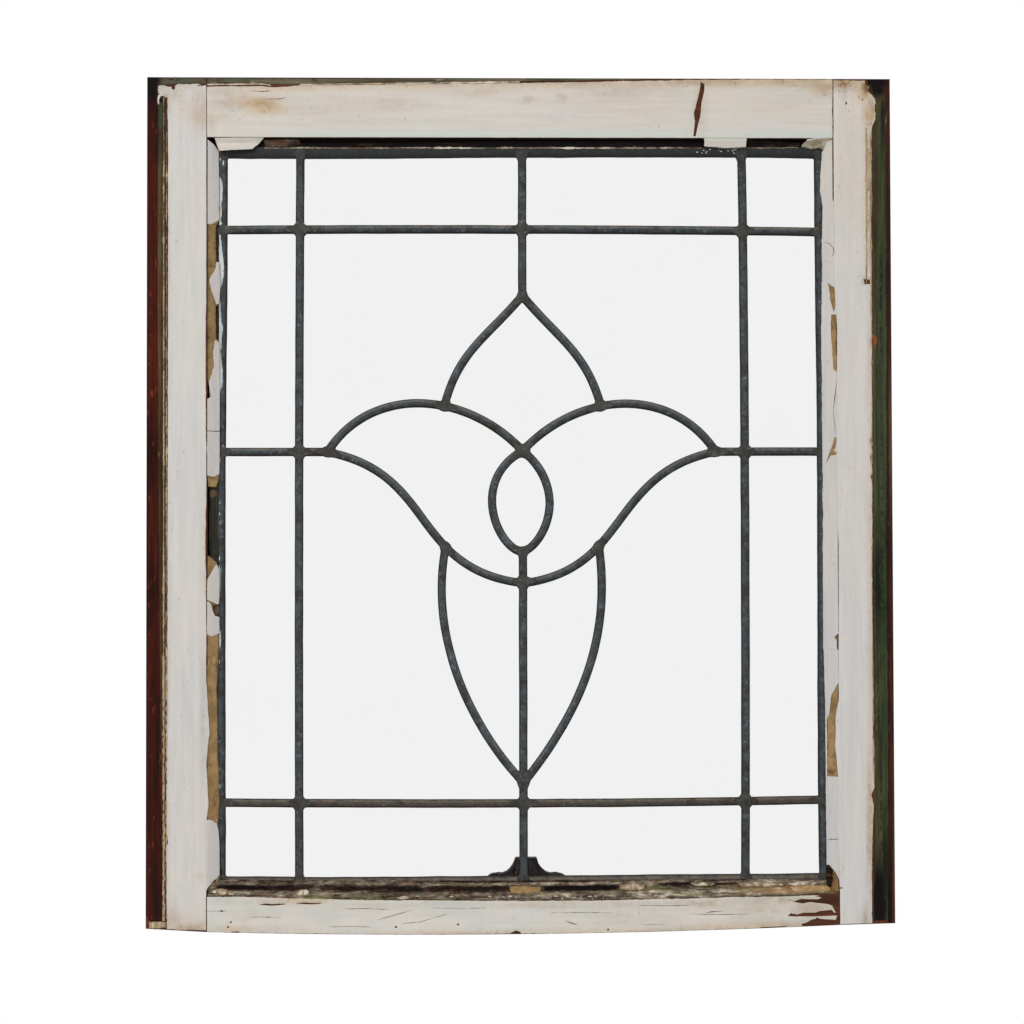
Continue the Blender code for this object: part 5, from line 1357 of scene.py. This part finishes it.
# Each joint: its centre, the directions of its strips, and whether it is on the border
joints = []
for side, half in halves.items():
    inward, outward = (R, L) if side < 0 else (L, R)
    for end in (-1, 1):
        joints += [
            ((column_x(side, end * ROW), row_z(end, side * COLUMN)), [L, R, U, D], False),
            ((border_x(side, end * ROW) - side * 2, row_z(end, side * BORDER_X)), [inward, U, D], True),
            ((border_x(side, end * BORDER_Z) - side * 2.9, end * (BORDER_Z - 2.5)),
             [inward, D if end > 0 else U], True),
            ((column_x(side, end * BORDER_Z), end * (BORDER_Z - 2)), [L, R, D if end > 0 else U], True),
        ]
    joints += [
        ((border_x(side, BAR) - side * 2, BAR), [inward, U, D], True),
        ((column_x(side, BAR), BAR), [L, R, U, D], False),
        (half.tip, [outward, towards(half.top, 0, .1), towards(half.under, 0, .1)], False),
        (half.bud[3], [towards(half.top, half.bud_share, .07), towards(half.top, half.bud_share, -.07),
                       towards(half.bud, 1, -.1)], False),
        (half.leaf[0], [towards(half.under, half.leaf_share, .07),
                        towards(half.under, half.leaf_share, -.07), towards(half.leaf, 0, .1)], False),
    ]
joints += [
    ((0, row_z(1, 0)), [L, R, U, D], False),
    ((0, row_z(-1, 0)), [L, R, U, D], False),
    ((0, BORDER_Z - 2), [L, R, D], True),
    ((0, -BORDER_Z + 2), [L, R, U], True),
    (BUD_APEX, [U, towards(left.bud, 0, .1), towards(right.bud, 0, .1)], False),
    (PETALS_MEET, [towards(left.top, 1, -.1), towards(right.top, 1, -.1), towards(left.eye, 0, .1),
                   towards(right.eye, 0, .1)], False),
    (EYE_FOOT, [D, towards(left.eye, 1, -.15), towards(right.eye, 1, -.15)], False),
    (STEM_JOINT, [U, D, towards(left.under, 1, -.1), towards(right.under, 1, -.1)], False),
    (LEAF_FOOT, [U, D, towards(left.leaf, 1, -.1), towards(right.leaf, 1, -.1)], False),
]


SOLDER_REACH, SOLDER_CELL, OUTSIDE = 22, 0.75, 9   # a joint's field: half size, mesh size, value on its rim
BEAD_SLOPE = 1.6                                   # how far in from its rim the solder rises


def blend(a, b, k):
    """Union of two distance fields with a fillet of about k between them."""
    h = np.clip(0.5 + 0.5 * (b - a) / k, 0, 1)
    return b * (1 - h) + a * h - k * h * (1 - h)


def solder_field(centre, arms, border, axis, rng, seed):
    """Distance to the rim of a joint's solder, below 0 inside it: tongues along its arms, with fillets."""
    gx, gz = np.meshgrid(axis, axis, indexing="ij")
    total = None
    for dx, dz in arms:
        along, off = gx * dx + gz * dz, gx * dz - gz * dx
        wide = border and (abs(centre[0]) > 200 and abs(dz) > 0.9 or abs(centre[1]) > 250 and abs(dx) > 0.9)
        half = 3.2 if wide else NARROW / 2 - 0.35
        reach = rng.uniform(4.0, 6.0) if wide else rng.uniform(9.0, 14.0)
        start = 0.45 * reach
        width = half * np.sqrt(np.clip(1 - (np.clip(along - start, 0, None) / (reach - start)) ** 2, 0, 1))
        field = np.where(along < 0, np.hypot(along, off) - half, np.abs(off) - width)
        field = np.where(along > reach, np.hypot(along - reach, off), field)
        total = field if total is None else blend(total, field, 3.9 if border or len(arms) > 3 else 3.4)
    bumps = [[wobble(centre[0] + x, centre[1] + z, 3.2, seed, 3) for z in axis] for x in axis]
    total = total + 0.22 * np.array(bumps)
    total[[0, -1], :] = OUTSIDE
    total[:, [0, -1]] = OUTSIDE
    return total


def solder_outline(total, axis):
    """Points (x, z, value, 1 on the rim) and polygons of the part of a field that lies below 0."""
    points, index = [], {}

    def corner(i, j):
        if (i, j) not in index:
            index[i, j] = len(points)
            points.append((axis[i], axis[j], total[i, j], 0))
        return index[i, j]

    def crossing(i, j, k, l):
        key = tuple(sorted([(i, j), (k, l)]))
        if key not in index:
            a, b = total[i, j], total[k, l]
            t = min(max(a / (a - b), 0.04), 0.96)
            index[key] = len(points)
            points.append((axis[i] + (axis[k] - axis[i]) * t, axis[j] + (axis[l] - axis[j]) * t, 0.0, 1))
        return index[key]

    polygons = []
    for i in range(len(axis) - 1):
        for j in range(len(axis) - 1):
            ring = [(i, j), (i + 1, j), (i + 1, j + 1), (i, j + 1)]
            inner = [total[p] < 0 for p in ring]
            polygon = []
            for a in range(4):
                b = (a + 1) % 4
                if inner[a]:
                    polygon.append(corner(*ring[a]))
                if inner[a] != inner[b]:
                    polygon.append(crossing(*ring[a], *ring[b]))
            if sum(inner) == 2 and inner[0] == inner[2]:
                polygons += [polygon[:3], polygon[3:]]
            elif polygon:
                polygons.append(polygon)
    return np.array(points), polygons


def solder(outside, inside_face, centre, arms, border, seed):
    """Adds the solder over one joint to the pieces of the panel's two faces."""
    rng = random.Random(seed)
    axis = np.arange(-int(SOLDER_REACH / SOLDER_CELL), int(SOLDER_REACH / SOLDER_CELL) + 1) * SOLDER_CELL
    points, polygons = solder_outline(solder_field(centre, arms, border, axis, rng, seed), axis)
    depth = np.clip(-points[:, 2] / BEAD_SLOPE, 0, 1)
    far = np.hypot(points[:, 0], points[:, 1])
    hump = (0.12 if border else 0.3) * np.exp(-(far / 6.5) ** 2)
    bead = 0.04 + (0.16 + hump) * np.sqrt(depth * (2 - depth))
    bumps = np.array([wobble(centre[0] + x, centre[1] + z, 2.6, seed + 5, 3) for x, z, *_ in points])
    bead = bead + 0.07 * bumps * depth
    top = np.where(points[:, 3] > 0, CAME_FACE + 0.75, CAME_FACE - bead)
    x, z = PANEL_X + centre[0] + points[:, 0], PANEL_Z + centre[1] + points[:, 1]
    m = len(points)
    foot_y = np.full(m, GLASS_FACE - 0.02)
    mark = np.zeros((2 * m, 4))
    mark[:, 0] = np.tile(np.clip(1 - depth * 1.4, 0, 1) * (0.45 if border else 1.0), 2)
    # Stain mark: painted shade on the joints of the top border strip, under the rail, and a little darker in
    # the middle of the other joints
    mark[:, 1] = 0.45 if border and centre[1] > 280 else 0.12 * np.exp(-(np.tile(far, 2) / 8) ** 2)
    mark[:, 2] = 0.5
    faces = polygons + [[a + m for a in p[::-1]] for p in polygons]
    faces += [(b, a, a + m, b + m) for a, b in open_sides(polygons)]
    outside.add(np.concatenate([np.stack([x, top, z], 1), np.stack([x, foot_y, z], 1)]), faces, 0, mark)
    # The inside face is the mirror image.
    mirrored = [np.stack([x, 2 * PANEL_Y - y, z], 1) for y in (top, foot_y)]
    inside_face.add(np.concatenate(mirrored), [f[::-1] for f in faces], 0, mark)


solders = (Piece(), Piece())
for i, (centre, arms, border) in enumerate(joints):
    solder(*solders, centre, arms, border, 700 + i)
solders[0].make("solder_joints_outside", "lead", [solder_lead])
solders[1].make("solder_joints_inside", "lead", [solder_lead])


# ---------------------------------------------------------------- paint and dirt on the lead

def on_left_came(lift):
    """A face that follows the left border strip's front."""
    def front(x, z):
        xs, zs = zip(*left_border)
        t = np.clip(np.abs(x - np.interp(z - PANEL_Z, zs, xs)) / (WIDE / 2), 0, 1)
        return PANEL_Y - FLANGE_EDGE - (FLANGE_CROWN - FLANGE_EDGE) * rounding(t) - lift
    return front


ON_LEAD = (on_left_came(0.13), on_left_came(-0.02))
# How far the white smear reaches over the left border strip: (py, px)
smear = [(176, 219.4), (180, 221.2), (186, 222.2), (198, 222.4), (206, 221.2), (214, 221.5), (221, 220.4),
    (225, 222.4), (230, 221.8), (234, 220.4), (243, 221), (254, 222.1), (264, 223.4), (277, 223.2),
    (283, 221.8), (288, 220), (300, 219.4), (308, 220.1), (320, 220.8), (327, 222.4), (337, 221.2),
    (352, 220.1), (360, 220.8), (370, 222.4), (382, 222.4), (393, 220.1), (402, 218.7)]
piece = Piece()
haze = [(right + 0.7, py, .45) for py, right in smear]
patch(piece, [(218.6, 177, .1), *haze, (218.6, 402, .1)], -8.4, on_left_came(0.05), on_left_came(-0.1),
      1.6, 800, tone=uneven(0.85, 0.5, 7, 801, (1, 3)), lip=.3, round_edge=.4, bare=0)
core = [(right, py, .5) for py, right in smear]
patch(piece, [(218.6, 177, .1), *core, (218.6, 402, .1)], -8.4, *ON_LEAD, 1.6, 802,
      stain=stains((219.4, 208, 1.2, 3, .9), (218.9, 300, .5, 60, .6)),
      tone=uneven(0.12, 0.3, 6, 803, (1, 3)), lip=.3, round_edge=.4, bare=.4)
blots = [
    [(219.2, 461), (220.2, 452), (221.8, 447), (224.0, 444.6), (222.4, 450), (220.8, 456), (220.2, 463)],
    [(219.8, 152.4), (222.4, 151.6), (223.8, 155), (221.6, 157.2), (220.2, 161.4), (219.6, 157)],
    [(222.8, 160), (224.0, 160.8), (223.6, 165.6), (222.7, 164.6)],
    [(219.2, 565), (220.4, 570), (220.2, 590), (219.2, 600)],
    [(219.0, 628), (220.6, 632), (220.8, 645), (219.4, 652)],
]
for i, blot in enumerate(blots):
    patch(piece, [(*p, .2) for p in blot], -8.4, *ON_LEAD, 1.2, 805 + i, 0.6,
          tone=uneven(0.15, 0.3, 4, 815 + i), bare=.3, **FLAT)
# Small specks of paint: on the left strip beside the putty, then on the top strip
SPECKS, ON_LEFT = 36, 14
rng = random.Random(81)
for i in range(SPECKS):
    if i < ON_LEFT:
        ranges, faces = ((219.2, 220.2), (470, 800), (0.25, 0.5), (0.6, 3.0)), ON_LEAD
    else:
        ranges = (696, 742), (148.6, 153.4), (0.4, 1.3), (0.3, 0.7)
        faces = level(CAME_FACE - 0.22), level(CAME_FACE + 0.05)
    px, py, w, h = (rng.uniform(low, high) for low, high in ranges)
    patch(piece, diamond(px, py, w, h, .12), -8.4, *faces, 1.2, 830 + i, 0.5,
          tone=uneven(0.3, 0.4, 4, 900 + i), bare=.3, **FLAT)
piece.make("white_smears_on_lead", "painted_wood", [smear_paint])

# Old dirt and bedding where the putty has gone, darkened further as painted shade in its gaps
piece = Piece()
shadows = stains((211.6, 493, 4.4, 5, 1.0), (208.9, 528, .7, 26, .9), (214, 470, 3, 8, .5),
    (218.3, 524, .6, 34, 1.0), (214.6, 609, 4, 7, 1.0))
runs = [
    [(222, 209.4, 219.4), (300, 209.4, 219.2), (440, 209.4, 219.4), (486, 209.4, 218.9),
     (560, 209.4, 218.9), (620, 209.4, 219.3)],
    [(842, 209.4, 219.6), (892, 209.4, 223.6)],
]
for i, run in enumerate(runs):
    patch(piece, column(run), -9, uneven(CAME_FACE - 0.35, 0.25, 5, 922 + i, (1, 2)),
          level(CAME_FACE + 0.6), 1.5, 920 + i, 1.0, kind=1, tone=shadows, lip=.4)
# Near black in the gap of the right putty: painted shade
patch(piece, column([(643, 824.2, 833), (668, 824.4, 833), (692, 826.6, 833)]), -9,
      uneven(CAME_FACE - 0.35, 0.25, 5, 928, (1, 2)), level(CAME_FACE + 0.6), 1.7, 927, 1.0,
      tone=uneven(0.02, 0.14, 7, 929, (1, 3)), lip=.4)
piece.make("side_bed_residue_and_shade", "putty", [debris, dark_bed])


# ---------------------------------------------------------------- lock keeper

KEEPER_X, KEEPER_Y, KEEPER_BASE, KEEPER_HALF = 3.3, 15.5, -659.8, 8.0
# The pocket that the lock's lever goes into
POCKET_HALF, POCKET_DEPTH, POCKET_TOP, POCKET_FLOOR = 9.8, 10.4, -649.9, -656.8
SCREW_OFFSET = 23.2
# Height of the keeper's top along it
keeper_line = [(-30.4, -656.4), (-29.4, -655.2), (-28.2, -654.3), (-26.2, -653.2), (-24, -652.7),
    (-18.2, -652.6), (-16.4, -652.3), (-14.8, -651.7), (-13, -650.8), (-11.4, -649.5), (-10.2, -648.1),
    (-9.0, -646.4), (-8.1, -644.9), (-7.4, -643.3), (-6.8, -641.6), (-6.1, -640.2), (-5.7, -639.8),
    (11.1, -639.8), (11.5, -640.4), (12.3, -643.4), (13.1, -645.2), (14.1, -646.7), (15.4, -648.4),
    (16.8, -649.7), (18.2, -650.9), (19.8, -651.8), (22.4, -652.5), (27.2, -652.8), (31, -653.0),
    (33.6, -653.9), (35.2, -655.0), (36.4, -656.2)]


def keeper_ring(x, pocket=None):
    """The keeper's section at x, from its outer foot over the top to its inner foot.

    pocket is None beside the lever's pocket, 0 on the pocket's end wall and 1 within it.
    """
    top = float(np.interp(x, *zip(*keeper_line)))
    run = min(x - keeper_line[0][0], keeper_line[-1][0] - x)
    half = KEEPER_HALF * math.sqrt(max(1 - max(0, 1 - run / KEEPER_HALF) ** 2, 0.04))
    top -= 0.5 * max(0, 1 - run / 2)
    shoulder = top - 0.9
    if pocket is None:
        inner = [(0, shoulder - (shoulder - KEEPER_BASE) * share) for share in (0.2, 0.4, 0.6, 0.8)]
    elif pocket:
        inner = [(0, POCKET_TOP), (POCKET_DEPTH, POCKET_TOP - 0.01), (POCKET_DEPTH, POCKET_FLOOR + 0.01),
                 (0, POCKET_FLOOR)]
    else:
        inner = [(0, POCKET_TOP), (0, POCKET_TOP - 2.3), (0, POCKET_FLOOR + 2.3), (0, POCKET_FLOOR)]
    ring = [(-half, KEEPER_BASE), (-half, shoulder), (-half + 0.25, top - 0.3), (-half + 0.8, top),
            (half - 0.8, top), (half - 0.25, top - 0.3), (half, shoulder),
            *[(half - d, z) for d, z in inner], (half, KEEPER_BASE)]
    return [(x, KEEPER_Y + d, z) for d, z in ring]


def tube(piece, rings):
    """Adds a closed solid through rings of as many points each."""
    n = len(rings[0])
    faces = []
    for i in range(len(rings) - 1):
        for k in range(n):
            a, b = i * n + k, i * n + (k + 1) % n
            faces.append((a, a + n, b + n, b))
    last = (len(rings) - 1) * n
    faces += [tuple(range(n)), tuple(range(last, last + n))[::-1]]
    piece.add([point for ring in rings for point in ring], faces)


piece = Piece()
left_side, right_side = KEEPER_X - POCKET_HALF, KEEPER_X + POCKET_HALF
stops = sorted({x for x, _ in keeper_line} | {-30.38, -30.1, -29.8, -28.8, -27.2, -22, 2.7, 8, 29, 32.4,
    34.4, 36.0, 36.38})
rings = [keeper_ring(x) for x in stops if x < left_side - 0.1]
rings += [keeper_ring(left_side - 0.03, 0), keeper_ring(left_side, 1)]
rings += [keeper_ring(x, 1) for x in stops if left_side + 0.1 < x < right_side - 0.1]
rings += [keeper_ring(right_side, 1), keeper_ring(right_side + 0.03, 0)]
rings += [keeper_ring(x) for x in stops if x > right_side + 0.1]
tube(piece, rings)
piece.make("keeper_casting", "keeper_iron", [keeper_iron], ["keeper"])


SCREW_TOP, SCREW_RADIUS, SHANK, SLOT_DEPTH, SLOT_HALF = -652.85, 3.5, 1.75, 0.75, 0.5


def screw(name, x):
    """Round-headed wood screw on a keeper's ear, with a slot."""
    profile = [(0.05, 1.1), (1.4, 1.0), (2.6, 0.62), (SCREW_RADIUS, -0.2), (SHANK, -0.6), (SHANK, -14),
               (0.9, -19), (0.05, -21)]
    count, rings = 24, []
    for radius, height in profile:
        turns = [2 * math.pi * (k + 0.5) / count for k in range(count)]
        ring = [(radius * math.cos(turn), radius * math.sin(turn)) for turn in turns]
        slotted = radius < SCREW_RADIUS and height > 0
        tops = [SCREW_TOP + height - (SLOT_DEPTH if slotted and abs(v) < SLOT_HALF else 0) for _, v in ring]
        rings.append([(x + u, KEEPER_Y + v, z) for (u, v), z in zip(ring, tops)])
    made = Piece()
    tube(made, rings)
    made.make(name + "_head", "screw_steel", [screw_iron], [name])


screw("keeper_screw_left", KEEPER_X - SCREW_OFFSET)
screw("keeper_screw_right", KEEPER_X + SCREW_OFFSET)


# ---------------------------------------------------------------- floor, light and camera

def seen_directly(tree):
    """1 for rays of the view, of reflections and through the glass, 0 for those that light things."""
    ray = tree.nodes.new("ShaderNodeLightPath").outputs
    seen = ray["Is Camera Ray"]
    for kind in ("Is Glossy Ray", "Is Transmission Ray"):
        both = tree.nodes.new("ShaderNodeMath")
        both.operation = "MAXIMUM"
        tree.links.new(seen, both.inputs[0])
        tree.links.new(ray[kind], both.inputs[1])
        seen = both.outputs[0]
    return seen


def floor_material(name):
    """Pale, and fading into the white background towards its rim."""
    look = Look(name)
    look.shader.inputs["Base Color"].default_value = (0.82, 0.82, 0.82, 1)
    look.shader.inputs["Roughness"].default_value = 0.9
    far = look.add("VectorMath", look.coords, operation="LENGTH").outputs["Value"]
    fade = look.add("MapRange", far, 0.45, 1.3, 0.0, 1.0, interpolation_type="SMOOTHSTEP").outputs[0]
    white = look.add("Emission")
    white.inputs["Strength"].default_value = 1.0
    out = look.add("MixShader", look.times(fade, seen_directly(look.tree)), look.shader.outputs[0],
                   white.outputs[0])
    look.feed(look.tree.nodes["Material Output"].inputs["Surface"], out.outputs[0])
    return look.made


FLOOR_RADIUS, FLOOR_SIDES = 1.35, 96
mesh = bpy.data.meshes.new("floor")
turns = [2 * math.pi * i / FLOOR_SIDES for i in range(FLOOR_SIDES)]
mesh.from_pydata([(FLOOR_RADIUS * math.cos(a), FLOOR_RADIUS * math.sin(a), 0) for a in turns], [],
                 [tuple(range(FLOOR_SIDES))])
mesh.materials.append(floor_material("floor_pale"))
floor = bpy.data.objects.new("floor", mesh)
floor.location = (0, 0, -1.0)
bpy.context.scene.collection.objects.link(floor)

world = bpy.data.worlds.new("studio")
bpy.context.scene.world = world
world.use_nodes = True
tree = world.node_tree
background = tree.nodes["Background"]
background.inputs["Color"].default_value = (1, 1, 1, 1)
# White where it is seen, dimmer as a light
strength = tree.nodes.new("ShaderNodeMapRange")
strength.inputs["To Min"].default_value = 0.55
strength.inputs["To Max"].default_value = 1.0
tree.links.new(seen_directly(tree), strength.inputs["Value"])
tree.links.new(strength.outputs[0], background.inputs["Strength"])


def lamp(name, place, target, size, power):
    data = bpy.data.lights.new(name, "AREA")
    data.shape = "SQUARE"
    data.size = size
    data.energy = power
    obj = bpy.data.objects.new(name, data)
    obj.location = place
    obj.rotation_euler = (Vector(target) - Vector(place)).to_track_quat("-Z", "Y").to_euler()
    bpy.context.scene.collection.objects.link(obj)


lamp("key", (-1.0, -3.1, 0.85), (0, 0, -0.35), 1.2, 54)
lamp("fill_back", (1.9, 2.3, 1.3), (0, 0, -0.35), 1.2, 34)

camera = bpy.data.cameras.new("camera")
camera.sensor_width = 36
camera.lens = camera.sensor_width * VIEW_DISTANCE / (2 * MIDDLE * PIXEL)
viewer = bpy.data.objects.new("camera", camera)
viewer.location = VIEWER * MM
viewer.rotation_euler = Matrix((RIGHT, UP, -FORWARD)).transposed().to_euler()
bpy.context.scene.collection.objects.link(viewer)
bpy.context.scene.camera = viewer
bpy.context.scene.view_settings.view_transform = "Standard"
